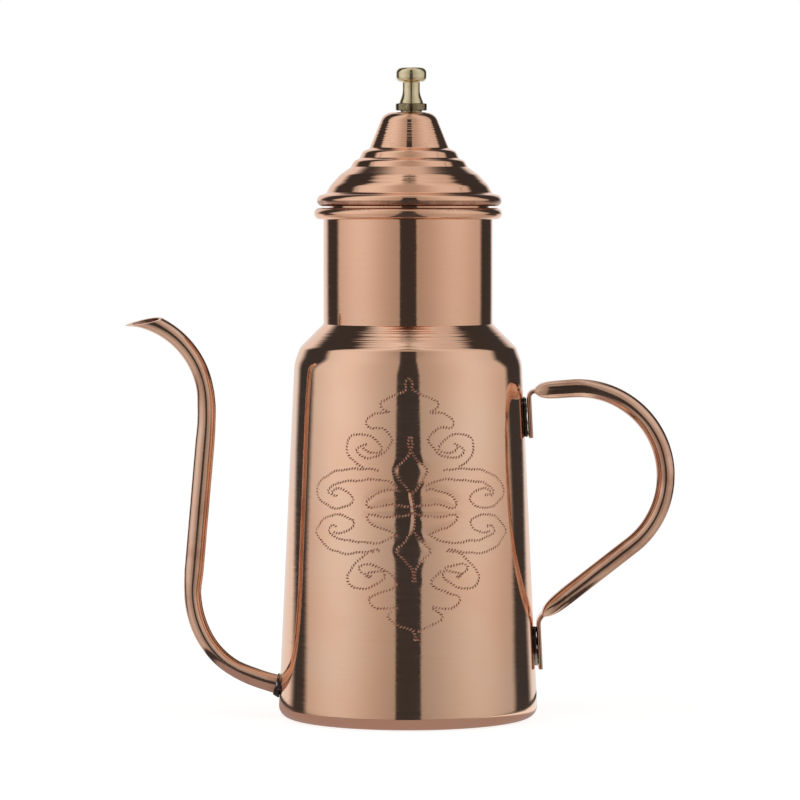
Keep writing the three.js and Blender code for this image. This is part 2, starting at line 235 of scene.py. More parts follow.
class Lathe:
    """Vertices, faces and corner normals of an outline (r, z) turned about a vertical axis."""

    def __init__(self, outline, columns, closed=True, axis_x=0.0, keep=None):
        self.columns = columns
        self.vertices, self.index = [], []
        angles = 2 * math.pi * np.arange(columns) / columns
        self.turn = np.stack([np.sin(angles), -np.cos(angles)], 1)
        for r, z in outline:
            if r < 1e-6:
                self.index.append([len(self.vertices)] * columns)
                self.vertices.append((axis_x, 0.0, z))
                continue
            self.index.append(list(range(len(self.vertices), len(self.vertices) + columns)))
            self.vertices += [(axis_x + r * x, r * y, z) for x, y in self.turn]
        before, after = corner_normals(outline, closed)
        self.faces, self.normals, self.segment = [], [], []
        count = len(outline)
        for i in range(count if closed else count - 1):
            k = (i + 1) % count
            for j in range(columns):
                if keep is None or keep(i, j):
                    self.add_face(i, k, j, after[i], before[k])

    def add_face(self, i, k, j, lower, upper):
        """One quad, or a triangle at the axis, between rows i and k."""
        n = (j + 1) % self.columns
        corners = [(i, j, lower), (i, n, lower), (k, n, upper), (k, j, upper)]
        face, normals = [], []
        for row, column, (nr, nz) in corners:
            vertex = self.index[row][column]
            if vertex in face:
                continue
            face.append(vertex)
            x, y = self.turn[column]
            normals.append((nr * x, nr * y, nz))
        if len(face) > 2:
            self.faces.append(face)
            self.normals += normals
            self.segment.append(i)


def lathe_piece(name, outline, columns, axis_x, body, node, materials,
                material_of=None, closed=True):
    """A finished turned piece. material_of gives the material number of an outline segment."""
    made = Lathe(outline, columns, closed, axis_x)
    chosen = [material_of(i) for i in made.segment] if material_of else None
    piece = new_piece(name, made.vertices, made.faces, body, node, materials, chosen)
    piece.data.normals_split_custom_set(made.normals)
    return piece


def apply_modifiers(piece):
    """Gives the piece the mesh that its modifiers make of its own."""
    depsgraph = bpy.context.evaluated_depsgraph_get()
    made = bpy.data.meshes.new_from_object(piece.evaluated_get(depsgraph))
    piece.modifiers.clear()
    piece.data = made
    return made


# ---------------------------------------------------------------- materials
class Nodes:
    """Builds one procedural material or world, a node at a time."""

    def __init__(self, owner):
        owner.use_nodes = True
        self.owner = owner
        self.tree = owner.node_tree
        self.tree.nodes.clear()

    def add(self, kind, inputs=(), **settings):
        """A new node with its inputs and settings."""
        node = self.tree.nodes.new(kind)
        for key, value in settings.items():
            setattr(node, key, value)
        for key, value in dict(inputs).items():
            self.put(node, key, value)
        return node

    def put(self, node, key, value):
        """A constant, or a link from another node's output."""
        if isinstance(value, bpy.types.NodeSocket):
            self.tree.links.new(value, node.inputs[key])
        else:
            node.inputs[key].default_value = value

    def math(self, operation, a, b=0.0, c=0.0):
        """The result of one sum."""
        return self.add("ShaderNodeMath", {0: a, 1: b, 2: c}, operation=operation).outputs[0]

    def times(self, value, *others):
        """The product of all values."""
        for other in others:
            value = self.math("MULTIPLY", value, other)
        return value

    def ramp(self, value, low, high, start=0.0, end=1.0):
        """A smooth step of value from low to high."""
        inputs = {"Value": value, "From Min": low, "From Max": high, "To Min": start, "To Max": end}
        node = self.add("ShaderNodeMapRange", inputs, interpolation_type="SMOOTHSTEP")
        return node.outputs["Result"]

    def noise(self, vector, scale, detail=2.0, roughness=0.5):
        """A cloudy value about 0.5; a larger scale gives smaller clouds."""
        inputs = {"Vector": vector, "Scale": scale, "Detail": detail, "Roughness": roughness}
        return self.add("ShaderNodeTexNoise", inputs).outputs["Fac"]

    def vector(self, operation, a, b=(0.0, 0.0, 0.0), scale=1.0):
        """A node for one sum with vectors."""
        return self.add("ShaderNodeVectorMath", {0: a, 1: b, 3: scale}, operation=operation)

    def scaled(self, vector, factors):
        return self.vector("MULTIPLY", vector, factors).outputs[0]

    def axis(self, vector, letter):
        return self.add("ShaderNodeSeparateXYZ", {0: vector}).outputs[letter]

    def object_point(self):
        """The shaded point in the piece's own coordinates, in metres."""
        return self.add("ShaderNodeTexCoord").outputs["Object"]

    def bump(self, height, distance, normal=None):
        """The normal of a fine relief; distance is in metres."""
        node = self.add("ShaderNodeBump", {"Height": height, "Distance": distance})
        if normal is not None:
            self.put(node, "Normal", normal)
        return node.outputs[0]

    def mix(self, share, a, b):
        """A blend of two colours."""
        node = self.add("ShaderNodeMix", data_type="RGBA")
        self.put(node, "Factor", share)
        self.put(node, 6, a)
        self.put(node, 7, b)
        return node.outputs[2]


def colour(r, g, b):
    """An opaque colour, from its parts in linear light."""
    return (r, g, b, 1.0)


WHITE = colour(1, 1, 1)
COPPER = colour(0.93, 0.585, 0.41)
COPPER_PALE = colour(0.925, 0.625, 0.46)
COPPER_RED = colour(0.92, 0.55, 0.38)
COPPER_BROWN = colour(0.33, 0.15, 0.09)
TUBE_COPPER = colour(0.82, 0.53, 0.395)
TUBE_STAIN = colour(0.60, 0.345, 0.25)
RED_FROM, RED_TO = 0.13, 0.18  # metres: the copper is redder towards the top
GROOVE = colour(0.42, 0.20, 0.14)
GROOVE_PALE = colour(0.62, 0.35, 0.26)
WORN_GREY = colour(0.36, 0.33, 0.30)


def new_material(name):
    """The node builder of a new material, and its object coordinates, in metres."""
    nodes = Nodes(bpy.data.materials.new(name))
    return nodes, nodes.object_point()


def metal(nodes, base, roughness, normal=None):
    """Ends a material as bare metal, and returns it."""
    shader = nodes.add("ShaderNodeBsdfPrincipled", {"Base Color": base, "Metallic": 1.0})
    nodes.put(shader, "Roughness", roughness)
    if normal is not None:
        nodes.put(shader, "Normal", normal)
    nodes.add("ShaderNodeOutputMaterial", {"Surface": shader.outputs[0]})
    return nodes.owner


def spun_normal(nodes, point, side_amount, bump_distance):
    """Fine lines left by spinning: each line leans the surface a little sideways and up or down."""
    lines = nodes.scaled(point, (18.0, 18.0, 1500.0))
    lean = nodes.math("SUBTRACT", nodes.noise(lines, 1.0, 2.0), 0.5)
    straight = nodes.add("ShaderNodeNewGeometry").outputs["Normal"]
    sideways = nodes.vector("CROSS_PRODUCT", straight, (0.0, 0.0, 1.0)).outputs[0]
    amount = nodes.times(lean, side_amount)
    shift = nodes.vector("SCALE", sideways, scale=amount).outputs[0]
    leaned = nodes.vector("ADD", straight, shift).outputs[0]
    coarse = nodes.noise(nodes.scaled(point, (25.0, 25.0, 420.0)), 1.0, 3.0, 0.7)
    swell = nodes.noise(point, 45.0, 1.0)
    return nodes.bump(nodes.math("MULTIPLY_ADD", swell, 5.0, coarse), bump_distance, leaned)


def copper_colour(nodes, point):
    """Polished copper with faint paler clouds, and a mask of small brown pits."""
    clouds = nodes.ramp(nodes.noise(point, 28.0, 3.0), 0.35, 0.68)
    base = nodes.mix(clouds, COPPER, COPPER_PALE)
    base = nodes.mix(nodes.ramp(nodes.axis(point, "Z"), RED_FROM, RED_TO), base, COPPER_RED)
    pits = nodes.ramp(nodes.noise(point, 620.0, 2.0, 0.55), 0.74, 0.79)
    patches = nodes.ramp(nodes.noise(point, 60.0, 1.0), 0.52, 0.66)
    spots = nodes.times(pits, patches)
    return nodes.mix(nodes.times(spots, 0.75), base, COPPER_BROWN), spots


def spun_copper():
    """Body and lid: polished copper with lines that run round the axis."""
    nodes, point = new_material("spun_copper")
    base, spots = copper_colour(nodes, point)
    streaks = nodes.noise(nodes.scaled(point, (30.0, 30.0, 2200.0)), 1.0, 2.0)
    roughness = nodes.ramp(streaks, 0.3, 0.75, 0.045, 0.11)
    roughness = nodes.math("MULTIPLY_ADD", spots, 0.3, roughness)
    return metal(nodes, base, roughness, spun_normal(nodes, point, 0.018, 0.000008))


def bead_copper(low, high, amount):
    """Copper whose top, between two heights, is worn to grey specks."""
    nodes, point = new_material("bead_copper")
    base, _ = copper_colour(nodes, point)
    band = nodes.ramp(nodes.axis(point, "Z"), low * MM, high * MM)
    grains = nodes.ramp(nodes.noise(point, 1500.0, 3.0, 0.7), 0.47, 0.56)
    places = nodes.ramp(nodes.noise(point, 35.0, 2.0), 0.36, 0.6)
    worn = nodes.times(band, grains, places, amount)
    base = nodes.mix(worn, base, WORN_GREY)
    roughness = nodes.math("MULTIPLY_ADD", worn, 0.4, 0.13)
    return metal(nodes, base, roughness, spun_normal(nodes, point, 0.03, 0.00001))


def tube_copper():
    """Drawn tube: browner and duller, with stains and faint lengthwise draw marks."""
    nodes, point = new_material("tube_copper")
    run = nodes.add("ShaderNodeAttribute", attribute_name="run").outputs["Vector"]
    marks = nodes.noise(nodes.scaled(run, (1400.0, 25.0, 0.0)), 1.0, 2.0)
    stain = nodes.ramp(nodes.noise(point, 55.0, 4.0, 0.6), 0.42, 0.72)
    base = nodes.mix(stain, TUBE_COPPER, TUBE_STAIN)
    roughness = nodes.ramp(marks, 0.3, 0.75, 0.08, 0.18)
    swell = nodes.math("MULTIPLY_ADD", nodes.noise(point, 90.0, 1.0), 6.0, marks)
    return metal(nodes, base, roughness, nodes.bump(swell, 0.00002))


def brown_and_shaded_copper():
    """Darker brown copper: painted shade on the underside of the lid's rolled edge, and the spout's bore.
    """
    nodes, point = new_material("brown_and_shaded_copper")
    clouds = nodes.ramp(nodes.noise(point, 160.0, 3.0, 0.6), 0.4, 0.65)
    base = nodes.mix(clouds, colour(0.42, 0.23, 0.16), colour(0.62, 0.36, 0.26))
    return metal(nodes, base, nodes.ramp(clouds, 0.0, 1.0, 0.30, 0.20))


def groove_copper():
    """The cut faces of the engraving: torn and dull, so they show against light and dark alike."""
    nodes, point = new_material("groove_copper")
    base = nodes.mix(nodes.ramp(nodes.noise(point, 900.0, 2.0), 0.4, 0.6), GROOVE, GROOVE_PALE)
    return metal(nodes, base, 0.34, nodes.bump(nodes.noise(point, 4000.0, 2.0), 0.00004))


def tinned():
    """Dull grey tin wiped over the inside."""
    nodes, point = new_material("tin_lining")
    clouds = nodes.ramp(nodes.noise(point, 70.0, 4.0, 0.6), 0.35, 0.7)
    base = nodes.mix(clouds, colour(0.62, 0.60, 0.57), colour(0.78, 0.76, 0.72))
    roughness = nodes.ramp(nodes.noise(point, 200.0, 3.0), 0.3, 0.7, 0.28, 0.5)
    return metal(nodes, base, roughness, nodes.bump(clouds, 0.0001))


def soldered(name, dark_from, bright_below=0.0):
    """Soft solder: grey and lumpy where it ran, and black with burnt flux; where the black is laid on
    thick it is also painted shade of the gap behind a handle tab.

    Black covers it where a noise exceeds dark_from, except below a height given in millimetres; on the
    lower tab the black above that height is painted shade of the gap behind the tab.
    """
    nodes, point = new_material(name)
    flux_and_shade = nodes.ramp(nodes.noise(point, 420.0, 3.0, 0.6), dark_from, dark_from + 0.12)
    # painted shade: on the lower tab this height mask paints the solder dark above bright_below, where the
    # gap behind the tab is shaded
    above = nodes.ramp(nodes.axis(point, "Z"), (bright_below - 1) * MM, (bright_below + 1) * MM)
    flux_and_shade = nodes.times(flux_and_shade, above)
    base = nodes.mix(flux_and_shade, colour(0.60, 0.61, 0.60), colour(0.06, 0.05, 0.045))
    roughness = nodes.ramp(nodes.noise(point, 900.0, 2.0), 0.3, 0.7, 0.22, 0.55)
    return metal(nodes, base, roughness, nodes.bump(nodes.noise(point, 700.0, 3.0), 0.0003))


def turned_brass(name, dark_from, dark_share):
    """Pale yellow brass with turning lines. Where a noise exceeds dark_from it is tarnished."""
    nodes, point = new_material(name)
    mottle = nodes.ramp(nodes.noise(point, 380.0, 4.0, 0.65), dark_from, dark_from + 0.26)
    share = nodes.times(mottle, dark_share)
    base = nodes.mix(share, colour(0.80, 0.70, 0.46), colour(0.20, 0.16, 0.09))
    lines = nodes.noise(nodes.scaled(point, (60.0, 60.0, 3000.0)), 1.0, 2.0)
    roughness = nodes.ramp(lines, 0.3, 0.7, 0.10, 0.24)
    return metal(nodes, base, roughness, nodes.bump(lines, 0.00001))


def zinc_steel():
    """The small screw: plated steel with a crystalline grain."""
    nodes, point = new_material("zinc_steel")
    grain = nodes.add("ShaderNodeTexVoronoi", {"Vector": point, "Scale": 1600.0}).outputs["Distance"]
    base = nodes.mix(nodes.ramp(grain, 0.1, 0.7), colour(0.55, 0.57, 0.60), colour(0.72, 0.73, 0.74))
    return metal(nodes, base, nodes.ramp(grain, 0.0, 0.8, 0.25, 0.4), nodes.bump(grain, 0.00001))


SPUN = spun_copper()
TUBE = tube_copper()
ENGRAVED = groove_copper()
TIN = tinned()
# darker brown copper: painted shade under the lid's rolled edge, also used in the spout's bore
BROWN_AND_SHADED = brown_and_shaded_copper()
SOLDER = soldered("soft_solder", 0.48)
# burnt flux, with more black as painted shade where the solder fills the gap behind the upper tab
BURNT_AND_SHADED_SOLDER = soldered("burnt_and_shaded_solder", 0.30)
# painted shade: the lower tab's solder is dark above 26 mm, in the shaded gap behind the tab
LOWER_TAB_SOLDER_AND_SHADE = soldered("lower_tab_solder_and_shade", 0.25, 26)
BRASS = turned_brass("turned_brass", 0.42, 0.15)
BRASS_DARK = turned_brass("tarnished_brass", 0.22, 0.9)
STEEL = zinc_steel()

# ---------------------------------------------------------------- the engraved ornament
# Half of the ornament, as (distance from its upright axis, height above its middle). Each stroke is a
# smooth curve through its points, and the other half is its mirror image.
ORNAMENT_Z = 88.0
SIDE_STROKES = [
    [(0.2, 53), (1.5, 51), (1.3, 48.5), (5, 46.5), (9.5, 44.5), (12, 43.5), (12, 41.5), (10, 40),
     (7.5, 39)],
    [(9.5, 39), (13, 39), (16, 38), (18.5, 35.5), (17.5, 33), (14, 33), (11, 32.5), (7.5, 28.5),
     (9, 25.5), (13, 22), (19, 21), (23, 23.5), (21, 25.5), (18.5, 26.5)],
    [(20, 25), (17, 23), (13, 23.5), (12, 25.5), (15.5, 29), (21, 30.5), (26, 29), (27.5, 26),
     (27, 22.5), (23.5, 19), (19.5, 17)],
    [(13.5, 16), (17, 16.5), (23, 16.5), (29, 16), (35, 14.5), (41.3, 11), (43.4, 7.5), (42, 4), (36, 1),
     (31, 0.5), (26.5, 2), (24.5, 4), (26, 6.5), (29.5, 8), (32, 8.5), (34.5, 7.5), (35, 6), (32, 5.5)],
    [(6, 9.5), (9, 11.5), (15, 12.5), (20.5, 12), (26, 11.5), (32, 10.5), (37, 7.5), (35.5, 5)],
    [(33.8, -9), (30.3, -9.5), (25.8, -7.5), (24.3, -5), (25.7, -3.5), (32.2, -2), (38.7, -4),
     (43.3, -8.5), (42, -11.5), (36.5, -15.5), (29, -17.5), (22.5, -17), (14, -15.5)],
    [(6.3, -9.5), (10, -11.5), (15, -13), (23, -12.5), (29.5, -12), (35.4, -10), (36.3, -8.5),
     (34.8, -6.5), (32.3, -7)],
    [(13.5, -16), (20, -18), (26.2, -24.5), (27.3, -27.5), (24.4, -31), (18.4, -31), (12.3, -27.5),
     (11.8, -25), (13.2, -24), (19.3, -25.5), (16.8, -26.5)],
    [(17.8, -27), (22.2, -23.5), (19.7, -21.5), (12.7, -23), (7.3, -27.5), (7.9, -30.5), (14, -33),
     (17.5, -34.5), (18, -36.5), (15, -39), (10.6, -39), (6.6, -38.5)],
    [(7, -39), (10.7, -42), (9.2, -44), (5.8, -46), (0.4, -48.5), (1, -52.5)],
]
LEAF_STROKES = [
    [(6, 8), (8.4, 8.5), (15, 6.5), (18.5, 3.5), (18, 1.5), (16, 1), (9.5, 2.5), (4, 2), (0, 1.5)],
    [(0, -1), (4.7, -2), (10.2, -2.5), (15.2, -2), (18.2, -2), (18.2, -4), (15.7, -6), (10.3, -8),
     (6.3, -9.5)],
]
SPINE_STROKES = [
    [(0.6, 29.5), (0.8, 26.5), (0.3, 23.5), (3.4, 19.5), (6.7, 16), (4, 11.5), (0.5, 7)],
    [(0.5, -8.5), (3.6, -12.5), (6.7, -16), (3.6, -19.8), (0.5, -23.5), (0.7, -28.5)],
]
STEM = [(0, 7), (0.8, 1), (0.9, -4), (0, -8.5)]
AXIS_LEAN = -0.026  # the ornament's axis leans a little from upright
AXIS_OFFSET = 1.6
CURVE_STEP = 0.25  # spacing of the points along a stroke
DASH_PITCH = 1.25  # a stroke is a row of separate cuts
DASH_LENGTH = 1.65
DASH_WIDTH = 0.62
DASH_DEPTH = 0.22
DASH_BOTTOM = 0.45  # how much of a cut's length its bottom line takes
DASH_SIZES = 0.82, 1.04  # the least and most that a cut is scaled by
DASH_SLANT, DASH_SLANT_SPREAD = 54, 22  # degrees from the stroke
DASH_WANDER, DASH_SHAKE = 0.14, 0.1  # slow and sudden drift off the stroke
TIP_CLEARANCE, MIDDLE_CLEARANCE = 0.02, 0.2  # how near another cut may come
SHORTENINGS = 1, 0.8, 0.6  # a cut that comes too near is made shorter
LEAF_DENT = 0.05, 1.2  # depth and width of the dent along a stroke
SPINE_DENT = 0.05, 1.0
STEM_DENT = 0.2, 0.9
ARC_RADIUS = 49.5  # the flat drawing's millimetres per radian round the can


def smooth_curve(points):
    """Evenly spaced points on a Catmull-Rom curve through given points."""
    p = np.array([points[0], *points, points[-1]], float)
    t = np.linspace(0, 1, 24, endpoint=False)[:, None]
    pieces = []
    for a, b, c, d in zip(p, p[1:], p[2:], p[3:]):
        square, cube = 2 * a - 5 * b + 4 * c - d, 3 * b - a - 3 * c + d
        pieces.append(b + 0.5 * ((c - a) * t + square * t**2 + cube * t**3))
    line = np.vstack([*pieces, p[-1:]])
    along = np.concatenate([[0], np.cumsum(np.linalg.norm(np.diff(line, axis=0), axis=1))])
    even = np.linspace(0, along[-1], max(2, round(along[-1] / CURVE_STEP)))
    return np.stack([np.interp(even, along, line[:, k]) for k in (0, 1)], 1)


def on_wall(points, side):
    """Ornament points as (distance round the wall from the front, height)."""
    across, up = points[:, 0], points[:, 1]
    axis = AXIS_OFFSET + AXIS_LEAN * up
    return np.stack([axis + side * across, ORNAMENT_Z + up], 1)


def strokes():
    """Every stroke as a wall curve, with the depth and width of its dent."""
    for group, dent in ((SIDE_STROKES, None), (LEAF_STROKES, LEAF_DENT), (SPINE_STROKES, SPINE_DENT)):
        for points in group:
            for side in (-1, 1):
                yield on_wall(smooth_curve(points), side), dent
    yield on_wall(smooth_curve(STEM), 1), STEM_DENT


def stroke_dashes(curve, rng):
    """The graver's separate cuts along one stroke, all leaning the same way, like a rope's strands."""
    wander = rng.uniform(0, 6)
    found = []
    step = round(DASH_PITCH / CURVE_STEP)
    for count, k in enumerate(range(1, len(curve) - 1, step)):
        ahead = curve[min(k + 2, len(curve) - 1)] - curve[k - 1]
        heading = math.atan2(ahead[1], ahead[0])
        turn = heading + math.radians(DASH_SLANT + rng.uniform(-DASH_SLANT_SPREAD, DASH_SLANT_SPREAD))
        drift = DASH_WANDER * math.sin(0.9 * count + wander) + rng.uniform(-DASH_SHAKE, DASH_SHAKE)
        centre = curve[k] + drift * np.array([-math.sin(heading), math.cos(heading)])
        found.append((centre, np.array([math.cos(turn), math.sin(turn)]), rng.uniform(*DASH_SIZES)))
    return found


def too_near(probe, others):
    """Whether a cut's tips or middle come too near those of any earlier cut."""
    reach = np.array([TIP_CLEARANCE, MIDDLE_CLEARANCE, TIP_CLEARANCE])
    apart = reach[:, None] + reach[None, :]
    gaps = np.linalg.norm(others[:, :, None, :] - probe[None, None, :, :], axis=3)
    return (gaps < apart).any()


def all_dashes():
    """Cuts of all strokes; one that would run into an earlier one is made shorter, or left out."""
    rng = random.Random(11)
    kept = []
    taken = np.zeros((0, 3, 2))
    for curve, _ in strokes():
        for centre, direction, size in stroke_dashes(curve, rng):
            for share in SHORTENINGS:
                shorter = share * size
                reach = direction * DASH_LENGTH * shorter / 2
                probe = np.array([centre - reach, centre, centre + reach])
                if not too_near(probe, taken):
                    kept.append((centre, direction, shorter))
                    taken = np.concatenate([taken, probe[None]])
                    break
    return kept


DASH_EDGE = 6  # points round a cut; two more make its bottom line


def dash_outline(centre, direction, size):
    """The points round one cut, and the two points of its bottom line."""
    across = np.array([-direction[1], direction[0]]) * DASH_WIDTH / 2
    tip = direction * DASH_LENGTH * size / 2
    side = tip * DASH_BOTTOM
    outline = [centre - tip, centre - side - across, centre + side - across,
               centre + tip, centre + side + across, centre - side + across]
    return outline, [centre - side, centre + side]


# ---------------------------------------------------------------- dents round the engraving
FLATTENED_DEPTH = 0.25  # the middle of the front is a little flattened
FLATTENED_REACH = (9.0, 26.0)
SLOPE_STEP = 0.15


def dent_depth(s, z):
    """How far the wall is pushed in at points (s, z) by the engraver's pressure."""
    depth = np.zeros_like(s)
    for curve, dent in strokes():
        if dent:
            sparse = curve[::2]
            gap = (s[:, None] - sparse[:, 0]) ** 2 + (z[:, None] - sparse[:, 1]) ** 2
            deep, wide = dent
            depth = np.maximum(depth, deep * np.exp(-gap.min(1) / (2 * wide**2)))
    flat = (s / FLATTENED_REACH[0]) ** 2 + ((z - ORNAMENT_Z) / FLATTENED_REACH[1]) ** 2
    return depth + FLATTENED_DEPTH * np.exp(-flat / 2)


def wall_radius(z):
    """Radius of the straight leaning wall at a height."""
    return BASE_RADIUS - (BASE_RADIUS - WALL_TOP_RADIUS) * z / WALL_TOP_Z


def wall_points(s, z, depth):
    """Points of the wall at distances s round it from the front, pushed in by depth."""
    r = wall_radius(z) - depth
    angle = s / ARC_RADIUS
    return np.stack([r * np.sin(angle), -r * np.cos(angle), z], 1)


def wall_normals(s, z):
    """Normals of the dented wall, from its slopes."""
    def dented(s, z):
        return wall_points(s, z, dent_depth(s, z))

    h = SLOPE_STEP
    normal = np.cross(dented(s + h, z) - dented(s - h, z), dented(s, z + h) - dented(s, z - h))
    return normal / np.linalg.norm(normal, axis=1)[:, None]


# ---------------------------------------------------------------- body
BODY_COLUMNS = 240
SHOULDER_MARKS = 0.016  # height of the turning marks on the shoulder
PATCH_HALF = 42  # columns that the engraved patch reaches to each side of the front
PATCH_LOW, PATCH_HIGH = 26.0, 142.4
PATCH_ROW = 1.4  # spacing of the rows that the patch's sides join
PATCH_FADE = 6  # the dents fade out this near the patch's sides
FINE_STEP = 0.75  # spacing of the patch's points near its spine, and twice that elsewhere
SPINE_AREA = 22, 36  # how far the fine points reach sideways and up or down
CLEAR_OF_MIDDLE, CLEAR_OF_POINT = 0.75, 0.42  # a point this far from a cut may stay
SURFACE_METALS = [SPUN, TIN, ENGRAVED]
OUTSIDE, INSIDE, CUT = range(3)  # their places in that list


def cut_at_radius(line, radius):
    """The line with its last stretch ended at a radius."""
    (r0, z0), (r1, z1) = line[-2:]
    share = (radius - r0) / (r1 - r0)
    return line[:-1] + [(radius, z0 + (z1 - z0) * share)]


def body_line():
    """Outer face of the shell from the middle of its base to inside the neck."""
    return rounded([
        (0, 0),
        (BASE_RADIUS, 0, BASE_CORNER),
        (WALL_TOP_RADIUS, WALL_TOP_Z, WALL_TOP_ROUND),
        (CREASE_RADIUS, CREASE_Z, CREASE_ROUND),
        (NECK_RADIUS - 2, NECK_FOOT_Z + 2),
    ])


def body_outside(rows):
    """The shell's outer line up to the neck, with its straight wall divided at the patch's rows."""
    line = cut_at_radius(body_line(), NECK_HOLE)
    line = rippled(line, CREASE_Z + 0.3, NECK_FOOT_Z, SHOULDER_MARKS)
    lengths = [math.dist(a, b) for a, b in zip(line, line[1:])]
    start = lengths.index(max(lengths))
    low_z, high_z = line[start][1], line[start + 1][1]
    heights = [*np.linspace(low_z, PATCH_LOW, 12)[1:-1], *rows]
    wall = [(wall_radius(z), z) for z in heights if low_z < z < high_z]
    return line[:start + 1] + wall + line[start + 1:]


def cut_outlines():
    """All cuts' points, their outlines and bottom lines by point number, and the points' depths."""
    points, faces, edges, depths = [], [], [], []
    for centre, direction, size in all_dashes():
        outline, bottom = dash_outline(centre, direction, size)
        first = len(points)
        points += outline + bottom
        depths += [0.0] * DASH_EDGE + [DASH_DEPTH * size] * 2
        faces.append(list(range(first, first + DASH_EDGE)))
        edges.append((first + DASH_EDGE, first + DASH_EDGE + 1))
    return points, faces, edges, depths


def filling_points(cuts, columns, rows):
    """A grid of points between the cuts, finer near the spine, where the wall is dented most."""
    found = []
    for k, s in enumerate(np.arange(columns[0] + FINE_STEP, columns[-1] - FINE_STEP / 2, FINE_STEP), 1):
        for n, z in enumerate(np.arange(rows[0] + FINE_STEP, rows[-1] - FINE_STEP / 2, FINE_STEP), 1):
            near_spine = abs(s - AXIS_OFFSET) < SPINE_AREA[0] and abs(z - ORNAMENT_Z) < SPINE_AREA[1]
            if near_spine or (k % 2 == 0 and n % 2 == 0):
                found.append((s, z))
    middles = cuts.reshape(-1, DASH_EDGE + 2, 2)[:, DASH_EDGE:].mean(1)
    clear = [np.abs(middles - p).sum(1).min() > CLEAR_OF_MIDDLE or
             np.linalg.norm(cuts - p, axis=1).min() > CLEAR_OF_POINT for p in np.array(found)]
    return np.array(found)[np.array(clear)]


def patch_triangles(columns, rows):
    """The front patch of the wall cut into triangles along every engraved dash."""
    points, faces, edges, depths = cut_outlines()
    border = [(s, z) for s in columns for z in (rows[0], rows[-1])]
    border += [(s, z) for s in (columns[0], columns[-1]) for z in rows[1:-1]]
    filling = filling_points(np.array(points), columns, rows)
    everything = [Vector(p) for p in [*points, *border, *filling]]
    flat, _, triangles, old_points, _, old_faces = delaunay_2d_cdt(everything, edges, faces, 0, 1e-6)
    depth = [max((depths[o] for o in old if o < len(depths)), default=0.0) for old in old_points]
    return np.array([tuple(v) for v in flat]), np.array(depth), triangles, [bool(old) for old in old_faces]


def border_key(s, z):
    """A place on the patch's border, rounded so that it can be looked up."""
    return round(s, 3), round(z, 3)


def add_patch(shell, columns, rows, border):
    """Adds the engraved patch to the shell, joined to its vertices along the patch's border.

    Returns the new faces' material numbers.
    """
    place, depth, triangles, cut = patch_triangles(columns, rows)
    fade = np.minimum(1, (columns[-1] - np.abs(place[:, 0])) / PATCH_FADE)
    dent = dent_depth(place[:, 0], place[:, 1]) * fade
    points = wall_points(place[:, 0], place[:, 1], dent + depth)
    smooth = wall_normals(place[:, 0], place[:, 1])
    number = []
    for (s, z), point in zip(place, points):
        if abs(abs(s) - columns[-1]) < 1e-4 or min(z - rows[0], rows[-1] - z) < 1e-4:
            number.append(border[border_key(s, z)])
        else:
            number.append(len(shell.vertices))
            shell.vertices.append(tuple(point))
    for triangle, is_cut in zip(triangles, cut):
        corners = points[list(triangle)]
        facing = np.cross(corners[1] - corners[0], corners[2] - corners[0])
        facing /= max(np.linalg.norm(facing), 1e-12)
        shell.faces.append([number[k] for k in triangle])
        shell.normals += [tuple(facing)] * 3 if is_cut else [tuple(smooth[k]) for k in triangle]
    return [CUT if is_cut else OUTSIDE for is_cut in cut]


def can_body():
    """The spun body with its engraved front and its lined inside."""
    rows = np.linspace(PATCH_LOW, PATCH_HIGH, round((PATCH_HIGH - PATCH_LOW) / PATCH_ROW) + 1)
    columns = np.arange(-PATCH_HALF, PATCH_HALF + 1) * 2 * math.pi / BODY_COLUMNS * ARC_RADIUS
    outside = body_outside(rows)
    inside = cut_at_radius(offset(body_line(), BODY_SHEET), NECK_HOLE)
    first_row = outside.index((wall_radius(PATCH_LOW), PATCH_LOW))

    def off_patch(i, j):
        return not 0 <= i - first_row < len(rows) - 1 or PATCH_HALF <= j < BODY_COLUMNS - PATCH_HALF

    shell = Lathe(outside + inside[::-1], BODY_COLUMNS, keep=off_patch)
    chosen = [OUTSIDE if i < len(outside) - 1 else INSIDE for i in shell.segment]
    border = {}
    for i, z in enumerate(rows, first_row):
        for j, s in enumerate(columns, -PATCH_HALF):
            border[border_key(s, z)] = shell.index[i][j % BODY_COLUMNS]
    chosen += add_patch(shell, columns, rows, border)
    piece = new_piece("can_body", shell.vertices, shell.faces, "can", "body_shell",
                      SURFACE_METALS, chosen)
    piece.data.normals_split_custom_set(shell.normals)
    return piece


def neck():
    """The straight neck with the bead rolled round a wire at its mouth."""
    tube = split_long([(NECK_RADIUS, NECK_BOTTOM), (NECK_RADIUS, RIM_Z - RIM_CURL)], 4)
    outer = tube + arc((NECK_RADIUS + RIM_CURL, RIM_Z), RIM_CURL, 180, -120)[1:]
    outline = outer + offset(outer, BODY_SHEET)[::-1]
    bead = bead_copper(RIM_Z + 0.4, RIM_Z + 1.9, 0.7)

    def metal_at(i):
        r, z = outline[i]
        if i < len(outer) - 1:
            return 0
        return 1 if r > NECK_RADIUS or z > RIM_Z - 3 else 2

    return lathe_piece("can_neck", outline, BODY_COLUMNS, 0.0, "can", "neck_sleeve",
                       [SPUN, bead, TIN], metal_at)


def neck_joint():
    """The fillet of solder that seals the neck to the shoulder from inside."""
    low, high = node_box("neck_solder")
    inside = NECK_RADIUS + 0.1
    corner = low.z + (high.z - low.z) / 3
    outline = rounded([(inside, low.z), (high.x, corner, 0.3), (inside, high.z)])
    return lathe_piece("neck_joint_solder", outline, 96, 0.0, "can", "neck_solder", [SOLDER])


def wire_ring(name, radius, z, section, axis_x, body, node):
    """The plain wire that a sheet edge is rolled round."""
    outline = arc((radius, z), section, 0, 345, 15)
    return lathe_piece(name, outline, 144, axis_x, body, node, [TUBE])


